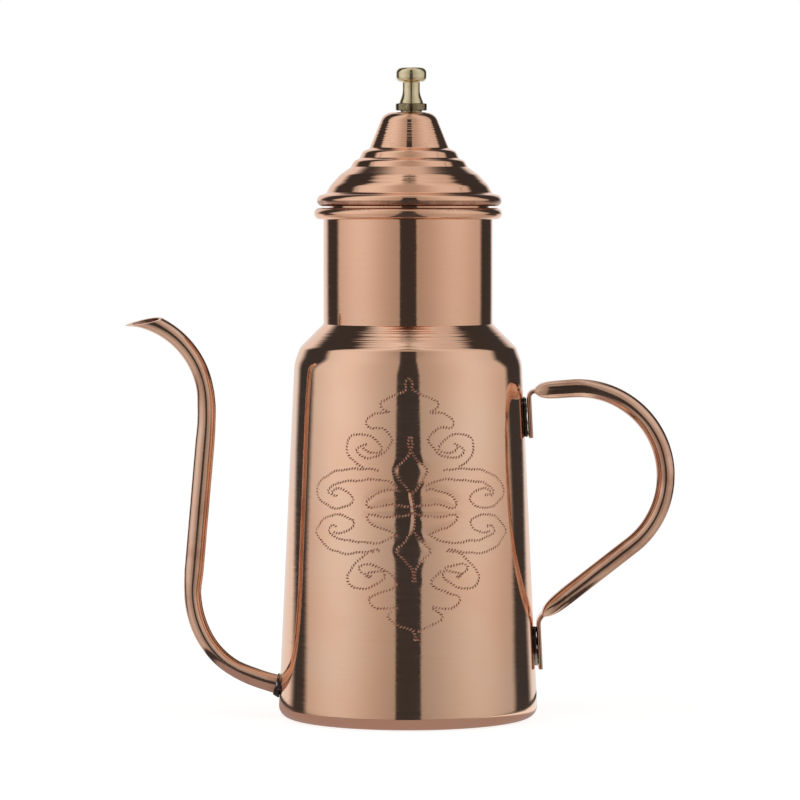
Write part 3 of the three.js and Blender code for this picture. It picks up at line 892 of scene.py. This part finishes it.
# ---------------------------------------------------------------- bent tubes
def walk(start, heading, route, step=1.0):
    """Stations (x, z, heading, fullness, distance) along straights and bends in the XZ plane."""
    x, z = start
    travelled = 0.0
    stations = []
    for part in route:
        radius = part.get("radius")
        turn = math.radians(part["heading"] - heading) if radius else 0.0
        length = abs(turn) * radius if radius else part["length"]
        count = max(3, math.ceil(length / step))
        for k in range(0 if not stations else 1, count + 1):
            share = k / count
            angle = math.radians(heading)
            if radius:
                side = math.copysign(1, turn)
                new = angle + turn * share
                px = x + side * radius * (math.sin(new) - math.sin(angle))
                pz = z - side * radius * (math.cos(new) - math.cos(angle))
            else:
                new = angle
                px = x + length * share * math.cos(angle)
                pz = z + length * share * math.sin(angle)
            swell = part.get("swell", 0)
            along = length * (1 - share) if swell < 0 else length * share
            fullness = 0.0 if part.get("flat") else 1 - math.exp(-along / abs(swell)) if swell else 1.0
            stations.append((px, pz, new, fullness, travelled + length * share))
        x, z = px, pz
        heading = part.get("heading", heading)
        travelled += length
    return stations


ROUND = 2  # the squareness of a circle; more bulges out towards a square


def bulge(v, squareness):
    """A coordinate of the unit circle, moved out to that of a section with this squareness."""
    return np.sign(v) * np.abs(v) ** (ROUND / squareness)


def ring_at(station, across, along, squareness, sides):
    """One ring of a tube's section; its half sizes lie in the route's plane and along Y."""
    x, z, angle = station[:3]
    a = 2 * np.pi * np.arange(sides) / sides
    out = across * bulge(np.cos(a), squareness)
    side = along * bulge(np.sin(a), squareness)
    return np.stack([x - out * math.sin(angle), side, z + out * math.cos(angle)], 1)


def tube_mesh(outer, inner):
    """Vertices and faces of a hollow tube through matching outer and inner rings."""
    sides, count = len(outer[0]), len(outer)
    vertices = np.vstack([*outer, *inner])
    start = count * sides
    faces = []
    for i in range(sides):
        j = (i + 1) % sides
        for s in range(count - 1):
            here, ahead = s * sides, (s + 1) * sides
            faces.append([here + j, here + i, ahead + i, ahead + j])
            faces.append([start + here + i, start + here + j, start + ahead + j, start + ahead + i])
        end = (count - 1) * sides
        faces.append([i, j, start + j, start + i])
        faces.append([end + j, end + i, start + end + i, start + end + j])
    return vertices, faces


TUBE_GIRTH = 0.025  # metres round a tube


def add_run(piece, stations, sides):
    """Stores how far round and along the tube each vertex lies, for its draw marks."""
    run = piece.data.attributes.new("run", "FLOAT_VECTOR", "POINT")
    around = np.arange(sides) / sides * TUBE_GIRTH
    rows = [np.stack([around, np.full(sides, s[4] * MM), np.zeros(sides)], 1) for s in stations]
    run.data.foreach_set("vector", np.vstack(rows + rows).astype(np.float32).ravel())


# ---------------------------------------------------------------- spout
SPOUT_RADIUS = 4
SPOUT_WALL = 0.8
SPOUT_START = (-50.3, 12.2)
SPOUT_HEADING = 165
SPOUT_ROUTE = [
    {"length": 5},
    {"radius": 86, "heading": 156},
    {"radius": 33.5, "heading": 118},
    {"radius": 40, "heading": 85},
    {"length": 61.4},
    {"radius": 96, "heading": 94},
    {"radius": 35.5, "heading": 172},
    {"length": 10},
]
SPOUT_LIP = (-114.6, 160.7)  # the point of the slanted mouth
SPOUT_LIP_RISE = 13  # degrees that the cut rises towards the body
SPOUT_LIP_ROLL = 13  # degrees that the cut turns towards the front
SPOUT_SIDES = 48
TIGHT_BEND = 34  # radius of the bends that flatten the tube fully
BEND_FLATTENING, BEND_WIDENING = 0.5, 0.15
BEND_SPAN = 4  # stations to each side over which a bend is measured


def bend_shares(stations):
    """How sharply the route bends round each station: 0 where straight, 1 in a tight bend."""
    shares = []
    for k in range(len(stations)):
        a, b = stations[max(k - BEND_SPAN, 0)], stations[min(k + BEND_SPAN, len(stations) - 1)]
        shares.append(min(1.0, TIGHT_BEND * abs(b[2] - a[2]) / max(b[4] - a[4], 1e-6)))
    return shares


def spout():
    """The swan-neck tube, a little flattened in its bends and cut off aslant at the mouth."""
    stations = walk(SPOUT_START, SPOUT_HEADING, SPOUT_ROUTE)
    bore_radius = SPOUT_RADIUS - SPOUT_WALL
    outer, inner = [], []
    for station, bend in zip(stations, bend_shares(stations)):
        flat, wide = BEND_FLATTENING * bend, BEND_WIDENING * bend
        outer.append(ring_at(station, SPOUT_RADIUS - flat, SPOUT_RADIUS + wide, ROUND, SPOUT_SIDES))
        inner.append(ring_at(station, bore_radius - flat, bore_radius, ROUND, SPOUT_SIDES))
    vertices, faces = tube_mesh(outer, inner)
    bore = [int(min(face) >= len(vertices) // 2) for face in faces]
    piece = new_piece("spout", vertices, faces, "can", "spout_tube", [TUBE, BROWN_AND_SHADED], bore)
    add_run(piece, stations, SPOUT_SIDES)
    trim_spout(piece)
    return piece


def trim_spout(piece):
    """Cuts the tube's far end along the slanted mouth and closes the cut wall."""
    lip = Vector((SPOUT_LIP[0], 0, SPOUT_LIP[1])) * MM
    rise, roll = math.radians(SPOUT_LIP_RISE), math.radians(SPOUT_LIP_ROLL)
    normal = Vector((0, -math.sin(roll), math.cos(roll)))
    normal = Vector((normal.x * math.cos(rise) - normal.z * math.sin(rise), normal.y,
                     normal.x * math.sin(rise) + normal.z * math.cos(rise)))
    work = bmesh.new()
    work.from_mesh(piece.data)
    parts = work.verts[:] + work.edges[:] + work.faces[:]
    bmesh.ops.bisect_plane(work, geom=parts, plane_co=lip, plane_no=normal, clear_outer=True)
    rim = [e for e in work.edges if e.is_boundary]
    bmesh.ops.bridge_loops(work, edges=rim)
    bmesh.ops.recalc_face_normals(work, faces=work.faces)
    work.to_mesh(piece.data)
    work.free()
    piece.data.set_sharp_from_angle(angle=math.radians(35))


# ---------------------------------------------------------------- handle
HANDLE_HEIGHT = 7.5
HANDLE_WIDTH = 8.3
HANDLE_WALL = 0.8
TAB_THICKNESS = 1.9
TAB_WIDTH = 12.2
TAB_SLIT = 0.3
TAB_SQUARENESS = 4
WALL_LEAN = 2.8  # degrees from upright
UPPER_TAB = (50.4, 114.8)
HANDLE_SIDES = 64
HANDLE_ROUTE = [
    {"length": 16.4, "flat": True},
    {"radius": 2.5, "heading": 4, "flat": True},
    {"length": 15.3, "swell": 2.2},
    {"radius": 36.1, "heading": -142},
    {"length": 34.2},
    {"length": 12, "swell": -3},
    {"radius": 5, "heading": -90 + WALL_LEAN, "flat": True},
    {"length": 18, "flat": True},
]


def handle():
    """The loop handle: one tube whose ends are pressed into flat tabs."""
    stations = walk(UPPER_TAB, 90 + WALL_LEAN, HANDLE_ROUTE, 0.7)

    def rings(height, width, flat_height, flat_width):
        found = []
        for s in stations:
            full = s[3]
            across = (flat_height + (height - flat_height) * full) / 2
            along = (flat_width + (width - flat_width) * full) / 2
            squareness = TAB_SQUARENESS - (TAB_SQUARENESS - ROUND) * full
            found.append(ring_at(s, across, along, squareness, HANDLE_SIDES))
        return found

    bore = 2 * HANDLE_WALL
    outer = rings(HANDLE_HEIGHT, HANDLE_WIDTH, TAB_THICKNESS, TAB_WIDTH)
    inner = rings(HANDLE_HEIGHT - bore, HANDLE_WIDTH - bore, TAB_SLIT, TAB_WIDTH - bore)
    vertices, faces = tube_mesh(outer, inner)
    piece = new_piece("handle", vertices, faces, "can", "handle_tube", [TUBE])
    add_run(piece, stations, HANDLE_SIDES)
    piece.data.set_sharp_from_angle(angle=math.radians(50))
    return piece


# ---------------------------------------------------------------- solder
SOLDER_GRAIN = 0.3  # size of the fine mesh's cells
SPIKE_HEIGHT = 0.8
SPIKE_WIDTH = 0.8
SMOOTHINGS = 4
LUMP_WAVES = 6
LUMP_FREQUENCY = 1400  # radians per metre, at most, along each axis
LOWER_TAB_SPIKE = (52.6, -2, 36.6)


def fine_copy(name, node):
    """A piece with a finely divided and smoothed copy of a CAD node's mesh."""
    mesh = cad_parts[node].data.copy()
    mesh.name = name
    piece = add_object(name, mesh)
    remesh = piece.modifiers.new("remesh", "REMESH")
    remesh.mode = "VOXEL"
    remesh.voxel_size = SOLDER_GRAIN * MM
    apply_modifiers(piece)
    return piece


def lumpy(mesh, seed, swell, spikes):
    """Softens the mesh and swells its skin into lumps and a few drawn-out points."""
    work = bmesh.new()
    work.from_mesh(mesh)
    for _ in range(SMOOTHINGS):
        bmesh.ops.smooth_vert(work, verts=work.verts, factor=0.5,
                              use_axis_x=True, use_axis_y=True, use_axis_z=True)
    work.normal_update()
    rng = random.Random(seed)
    waves = [(Vector([rng.uniform(-1, 1) for _ in range(3)]) * LUMP_FREQUENCY, rng.uniform(0, 6))
             for _ in range(LUMP_WAVES)]
    for v in work.verts:
        lump = sum(math.sin(v.co.dot(wave) + phase) for wave, phase in waves) / LUMP_WAVES
        push = swell * (0.5 + lump)
        for place in spikes:
            gap = (v.co - Vector(place) * MM).length / MM
            push += SPIKE_HEIGHT * math.exp(-((gap / SPIKE_WIDTH) ** 2))
        v.co += v.normal * push * MM
    work.to_mesh(mesh)
    work.free()
    mesh.shade_smooth()


def solder_lump(name, node, seed, swell, solder, spikes=()):
    """Solder that fills its CAD node's space with a lumpy skin."""
    piece = fine_copy(name, node)
    lumpy(piece.data, seed, swell, spikes)
    piece.data.materials.clear()
    piece.data.materials.append(solder)
    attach(piece, "can")
    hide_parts(node)
    return piece


# ---------------------------------------------------------------- lid
BELL_MARKS = 0.024  # height of the turning marks on the bell, and on the dome under the steps
DOME_MARKS = 0.010
LID_COLUMNS = 192
COLLAR_SHEET = 0.8


def lid_line():
    """Outer face of the lid from the middle of its top to its rolled edge."""
    top = LID_TOP
    cone = rounded([
        (0, top),
        (10.3, top, 4.8),
        (16.3, top - 14.7, 0.8),
        (19, top - 15.8, 2.6),
        (20.4, top - 18.7, 0.3),
        (22.6, top - 19.8, 2.2),
        (23.9, top - 22.3, 0.4),
        (28.3, top - 25.4, 5),
        (32.3, top - 29.8, 6),
        (34, top - 33, 1.2),
        (LID_RIM_RADIUS, LID_RIM_Z + LID_RIM_SECTION),
    ])
    return cone[:-1] + arc((LID_RIM_RADIUS, LID_RIM_Z), LID_RIM_SECTION, 90, -205)


def lid():
    """The bell-shaped lid with its turning marks, two steps and rolled edge."""
    plain = lid_line()
    outer = rippled(plain, LID_TOP - 14.2, LID_TOP - 1.6, BELL_MARKS)
    outer = rippled(outer, LID_TOP - 32, LID_TOP - 23.5, DOME_MARKS)
    inner = offset(plain, -LID_SHEET)
    hole = SCREW_RADIUS + 0.3
    outline = [(hole, LID_TOP - LID_SHEET)] + inner[1:] + outer[:0:-1] + [(hole, LID_TOP)]

    def metal_at(i):
        r, z = outline[i]
        if i < len(inner) - 1:
            return 1
        # below the middle of the rolled edge: the darker brown copper, painted shade
        return 2 if r > LID_RIM_RADIUS - 1 and z < LID_RIM_Z - 0.3 else 0

    return lathe_piece("lid", outline, LID_COLUMNS, LID_X, "lid", "lid_shell",
                       [SPUN, TIN, BROWN_AND_SHADED], metal_at)


def collar():
    """The plug ring under the lid, with its edges eased."""
    outside = (collar_high.x - collar_low.x) / 2
    inside = outside - COLLAR_SHEET
    low, high = collar_low.z, collar_high.z
    outline = split_long(rounded_loop([
        (inside + 0.4, low),
        (outside, low, 0.3),
        (outside, high - 1, 0.1),
        (inside, high, 0.1),
        (inside, low, 0.3),
    ]), 6)
    return lathe_piece("lid_collar_ring", outline, 160, LID_X, "lid", "lid_collar", [SPUN])


def collar_solder():
    """A fillet of solder where the plug ring meets the lid."""
    low, high = node_box("lid_collar_solder")
    outside = (high.x - low.x) / 2
    outline = rounded_loop([
        (outside, low.z + 1.2),
        (outside, high.z - 0.6, 0.1),
        (outside - 1.1, high.z, 0.1),
        (outside - 0.75, low.z + 1.5, 1.2),
        (outside, low.z),
    ])
    return lathe_piece("lid_solder_fillet", outline, 120, LID_X, "lid", "lid_collar_solder",
                       [SOLDER])


# ---------------------------------------------------------------- knob and its screw
def knob():
    """The turned brass knob."""
    bore = SCREW_RADIUS + 0.2
    base, top = KNOB_BASE, KNOB_TOP
    outline = rounded([
        (bore, base),
        (4.4, base),
        (4.4, base + 0.5),
        (KNOB_FLANGE_RADIUS, base + 0.6, 0.3),
        (KNOB_FLANGE_RADIUS, base + 3.4, 0.4),
        (5, base + 3.6),
        (KNOB_WAIST_RADIUS, base + 7.6, 8),
        (KNOB_WAIST_RADIUS, top - 5.9, 0.4),
        (KNOB_HEAD_RADIUS, top - 5.6, 1.8),
        (KNOB_HEAD_RADIUS, top, 2.1),
        (0, top),
    ]) + [(0, screw_high.z + 0.5), (bore, screw_high.z + 0.5)]

    def metal_at(i):
        r, z = outline[i]
        return 1 if z < base + 3.5 and r > 4 else 0

    return lathe_piece("brass_knob", outline, 96, KNOB_X, "lid", "lid_knob",
                       [BRASS, BRASS_DARK], metal_at)


def washer():
    """The brass washer under the screw's head."""
    low, high = washer_low.z, washer_high.z
    outside = (washer_high.x - washer_low.x) / 2
    outline = rounded_loop([
        (SCREW_RADIUS + 0.4, low),
        (outside, low, 0.2),
        (outside, high, 0.2),
        (SCREW_RADIUS + 0.2, high, 0.15),
        (SCREW_RADIUS + 0.2, low, 0.15),
    ])
    return lathe_piece("brass_washer", outline, 72, KNOB_X, "lid", "knob_washer", [BRASS])


SCREW_HEAD_HEIGHT = 1.9
THREAD_PITCH, THREAD_DEPTH = 0.7, 0.3
SLOT_WIDTH, SLOT_DEPTH = 1.1, 1.0


def screw():
    """A pan-head screw with a slot across its head and threads on its shank."""
    low, high = screw_low.z, screw_high.z
    head_radius = (screw_high.x - screw_low.x) / 2
    seat = low + SCREW_HEAD_HEIGHT
    shank = []
    z = seat + 0.6
    while z < high - 0.8:
        shank += [(SCREW_RADIUS - THREAD_DEPTH, z), (SCREW_RADIUS, z + THREAD_PITCH / 2)]
        z += THREAD_PITCH
    outline = rounded([(0, low), (head_radius, low, 1), (head_radius, seat), (SCREW_RADIUS - 0.1, seat)])
    outline += shank + [(SCREW_RADIUS - 0.6, high), (0, high)]
    piece = lathe_piece("slotted_screw", outline, 64, KNOB_X, "lid", "knob_screw", [STEEL],
                        closed=False)
    bpy.ops.mesh.primitive_cube_add(size=1, location=(KNOB_X * MM, 0, low * MM))
    cutter = bpy.context.object
    cutter.scale = (2.4 * head_radius * MM, SLOT_WIDTH * MM, 2 * SLOT_DEPTH * MM)
    slot = piece.modifiers.new("slot", "BOOLEAN")
    slot.object = cutter
    cut = apply_modifiers(piece)
    bpy.data.objects.remove(cutter)
    cut.set_sharp_from_angle(angle=math.radians(30))
    return piece


# ---------------------------------------------------------------- stage
# The studio round the can is painted by direction: across to the right, towards the front, and height,
# each a part of a unit direction.
TENT_MIDDLE, TENT_SIDE = 0.46, 0.80  # brightness by the lens and at the sides
TENT_BACK = 0.15  # how much darker it is behind
TENT_SHADE = colour(1.0, 0.92, 0.84)
BACKDROP = colour(0.84, 0.81, 0.79)
DARK = colour(0.045, 0.045, 0.047)
EDGE = math.radians(1)
SEAM_HEIGHT = math.sin(math.radians(40))

FLAG_HALF_WIDTH = 0.194  # of the dark slot for the lens, at the horizon
FLAG_NARROWING = 0.10  # and how much less at the top
FLAG_TOP = math.sin(math.radians(51))
FLAG_EDGE = 0.017
ROOF_PLACE = 0.10  # the dark opening overhead: how far in front, and its half sizes
ROOF_WIDTH, ROOF_DEPTH = 0.13, 0.04

# The dark ring between tent and backdrop, by its angle from the front.
GAP_NEAR, GAP_FAR = math.radians(117), math.radians(147)
GAP_NEAR_RISE, GAP_FAR_RISE = math.radians(12), math.radians(7)  # it lies nearer the front high up
GAP_NEAR_DROP, GAP_FAR_DROP = math.radians(7), math.radians(15)  # and low down
GAP_NEAR_SIDE, GAP_FAR_SIDE = math.radians(3.5), math.radians(7)  # and further back on the right

FLOOR_SIZE, FLOOR_DROP = 3.0, 0.0002  # metres
FLOOR_GLOW = 0.80
TABLE = colour(0.375, 0.306, 0.294)
PALE_TABLE = colour(0.95, 0.93, 0.90)
PALE_FROM, PALE_TO = 0.054, 0.064  # metres along X: the table is paler under the handle
TABLE_REACH = 0.10, 0.12  # metres: the metal mirrors a table this wide, a dark ring, and no more floor
TABLE_EDGE = 0.004


def tent_light(nodes, azimuth, height):
    """The tent's white cloth: dimmer and warmer near the lens and low down."""
    off = nodes.math("ABSOLUTE", azimuth)
    rise = nodes.ramp(off, 0.1, 1.2, TENT_MIDDLE, TENT_SIDE)
    fall = nodes.ramp(off, 1.25, 2.0, 0.0, TENT_BACK)
    tent = nodes.math("SUBTRACT", rise, fall)
    left_brighter = nodes.math("MULTIPLY_ADD", nodes.math("SINE", azimuth), -0.06, 1.0)
    low_dimmer = nodes.ramp(height, -0.09, 0.04, 0.76, 1.0)
    tent = nodes.times(tent, left_brighter, low_dimmer)
    tint = nodes.mix(nodes.ramp(tent, 0.84, 0.45), WHITE, TENT_SHADE)
    return nodes.vector("SCALE", tint, scale=tent).outputs[0]


def side_gap(nodes, across, towards, height):
    """Masks of the dark ring between the tent and the backdrop, and of all that lies past it."""
    from_front = nodes.math("ARCCOSINE", towards)
    high = nodes.ramp(height, 0.02, 0.42)
    low = nodes.ramp(height, -0.02, -0.07)
    near = nodes.math("MULTIPLY_ADD", high, -GAP_NEAR_RISE, GAP_NEAR)
    near = nodes.math("MULTIPLY_ADD", low, -GAP_NEAR_DROP, near)
    far = nodes.math("MULTIPLY_ADD", low, -GAP_FAR_DROP, GAP_FAR)
    far = nodes.math("MULTIPLY_ADD", high, -GAP_FAR_RISE, far)
    side = nodes.math("SIGN", across)
    near = nodes.math("MULTIPLY_ADD", side, GAP_NEAR_SIDE, near)
    far = nodes.math("MULTIPLY_ADD", side, GAP_FAR_SIDE, far)
    gap = nodes.ramp(nodes.math("SUBTRACT", from_front, near), -8 * EDGE, 2 * EDGE)
    gap = nodes.times(gap, nodes.ramp(height, -0.35, -0.2))
    beside_roof = nodes.ramp(nodes.math("ABSOLUTE", across), 0.10, 0.34)
    below_roof = nodes.ramp(height, 0.85, 0.6)
    gap = nodes.times(gap, nodes.math("MAXIMUM", beside_roof, below_roof))
    past = nodes.ramp(nodes.math("SUBTRACT", from_front, far), -4 * EDGE, 12 * EDGE)
    return gap, past


def lens_flag(nodes, across, towards, height):
    """Mask of the dark slot in front, through which the lens looks."""
    half_width = nodes.math("MULTIPLY_ADD", height, -FLAG_NARROWING, FLAG_HALF_WIDTH)
    inside = nodes.math("SUBTRACT", half_width, nodes.math("ABSOLUTE", across))
    flag = nodes.ramp(inside, -FLAG_EDGE, FLAG_EDGE)
    flag = nodes.times(flag, nodes.ramp(towards, 0.0, 0.1))
    return nodes.times(flag, nodes.ramp(height, FLAG_TOP + 0.01, FLAG_TOP - 0.01))


def roof_opening(nodes, across, towards, height):
    """Mask of the small dark opening nearly overhead."""
    ahead = nodes.math("ABSOLUTE", nodes.math("SUBTRACT", towards, ROOF_PLACE))
    mask = nodes.ramp(ahead, ROOF_DEPTH, 0.7 * ROOF_DEPTH)
    side = nodes.ramp(nodes.math("ABSOLUTE", across), ROOF_WIDTH, 0.5 * ROOF_WIDTH)
    return nodes.times(mask, side, nodes.ramp(height, 0.8, 0.9))


def studio_world():
    """A white tent with a slot for the lens, a seam round it and a dark ring before the backdrop."""
    world = bpy.data.worlds.new("studio")
    bpy.context.scene.world = world
    nodes = Nodes(world)
    direction = nodes.add("ShaderNodeTexCoord").outputs["Generated"]
    parts = nodes.add("ShaderNodeSeparateXYZ", {0: direction}).outputs
    across, height = parts["X"], parts["Z"]
    towards = nodes.times(parts["Y"], -1.0)
    light = tent_light(nodes, nodes.math("ARCTAN2", across, towards), height)
    light = nodes.mix(lens_flag(nodes, across, towards, height), light, DARK)
    light = nodes.mix(roof_opening(nodes, across, towards, height), light, DARK)
    seam_distance = nodes.math("ABSOLUTE", nodes.math("SUBTRACT", height, SEAM_HEIGHT))
    light = nodes.mix(nodes.ramp(seam_distance, 0.010, 0.003, 0.0, 0.4), light, DARK)
    gap, past = side_gap(nodes, across, towards, height)
    light = nodes.mix(gap, light, DARK)
    light = nodes.mix(past, light, BACKDROP)
    seen = nodes.add("ShaderNodeLightPath").outputs["Is Camera Ray"]
    light = nodes.mix(seen, light, WHITE)
    shader = nodes.add("ShaderNodeBackground", {"Color": light, "Strength": 1.0})
    nodes.add("ShaderNodeOutputWorld", {"Surface": shader.outputs[0]})


def mirrored_table(nodes, point):
    """What the metal mirrors of the floor: a small table top with a dark edge, and nothing past it."""
    reach = nodes.vector("LENGTH", point).outputs["Value"]
    near, far = TABLE_REACH
    top = nodes.mix(nodes.ramp(nodes.axis(point, "X"), PALE_FROM, PALE_TO), TABLE, PALE_TABLE)
    top = nodes.mix(nodes.ramp(reach, near - TABLE_EDGE, near + TABLE_EDGE), top, DARK)
    past = nodes.ramp(reach, far - TABLE_EDGE, far + TABLE_EDGE)
    shown = nodes.add("ShaderNodeEmission", {"Color": top, "Strength": 1.0})
    clear = nodes.add("ShaderNodeBsdfTransparent")
    return nodes.add("ShaderNodeMixShader", {0: past, 1: shown.outputs[0], 2: clear.outputs[0]})


def floor_material():
    """A glowing pale floor that still takes a faint shadow."""
    nodes, point = new_material("pale_floor")
    glow = nodes.add("ShaderNodeEmission", {"Color": WHITE, "Strength": FLOOR_GLOW})
    paint = nodes.add("ShaderNodeBsdfDiffuse", {"Color": colour(0.5, 0.5, 0.5)})
    pale = nodes.add("ShaderNodeAddShader", {0: glow.outputs[0], 1: paint.outputs[0]})
    mirrored = mirrored_table(nodes, point)
    in_metal = nodes.add("ShaderNodeLightPath").outputs["Is Glossy Ray"]
    mixed = nodes.add("ShaderNodeMixShader", {0: in_metal, 1: pale.outputs[0], 2: mirrored.outputs[0]})
    nodes.add("ShaderNodeOutputMaterial", {"Surface": mixed.outputs[0]})
    return nodes.owner


def studio_floor():
    """The floor, a hair under the can's base."""
    mesh = bpy.data.meshes.new("floor")
    half = FLOOR_SIZE / 2
    corners = [(-half, -half, 0), (half, -half, 0), (half, half, 0), (-half, half, 0)]
    mesh.from_pydata(corners, [], [[0, 1, 2, 3]])
    mesh.materials.append(floor_material())
    floor = add_object("floor", mesh)
    floor.location.z = -FLOOR_DROP


CAMERA_PLACE = Vector((-3.3, -1721, 208)) * MM
CAMERA_AIM = Vector((-3.3, 0, 130.1)) * MM
CAMERA_LENS, CAMERA_SENSOR = 189, 36


def camera():
    """The camera, nearly level with the can and far off, as in the photo."""
    data = bpy.data.cameras.new("camera")
    data.lens = CAMERA_LENS
    data.sensor_width = CAMERA_SENSOR
    data.clip_start = 0.01
    eye = add_object("camera", data)
    eye.location = CAMERA_PLACE
    eye.rotation_euler = (CAMERA_AIM - CAMERA_PLACE).to_track_quat("-Z", "Y").to_euler()
    bpy.context.scene.camera = eye


# ---------------------------------------------------------------- assembly
bpy.context.scene.view_settings.view_transform = "Standard"
camera()
studio_world()
studio_floor()
can_body()
neck()
neck_joint()
rim_radius = (rim_high.x - rim_low.x) / 2 - RIM_WIRE_RADIUS
wire_ring("mouth_wire", rim_radius, RIM_Z, RIM_WIRE_RADIUS, 0.0, "can", "neck_rim_wire")
spout()
handle()
# the spout joint and the upper tab take the blacker solder: burnt flux, and painted shade in the gap
# behind the upper tab
solder_lump("spout_joint_solder", "spout_solder", 3, 0.12, BURNT_AND_SHADED_SOLDER)
solder_lump("upper_tab_solder", "handle_upper_solder", 5, 0.35, BURNT_AND_SHADED_SOLDER)
# the lower tab's solder is painted dark above 26 mm: painted shade of the gap behind the tab
solder_lump("lower_tab_solder", "handle_lower_solder", 7, 0.35, LOWER_TAB_SOLDER_AND_SHADE, [LOWER_TAB_SPIKE])
lid()
wire_ring("lid_edge_wire", LID_RIM_RADIUS, LID_RIM_Z, LID_WIRE_RADIUS, LID_X, "lid", "lid_rim_wire")
collar()
collar_solder()
knob()
washer()
screw()
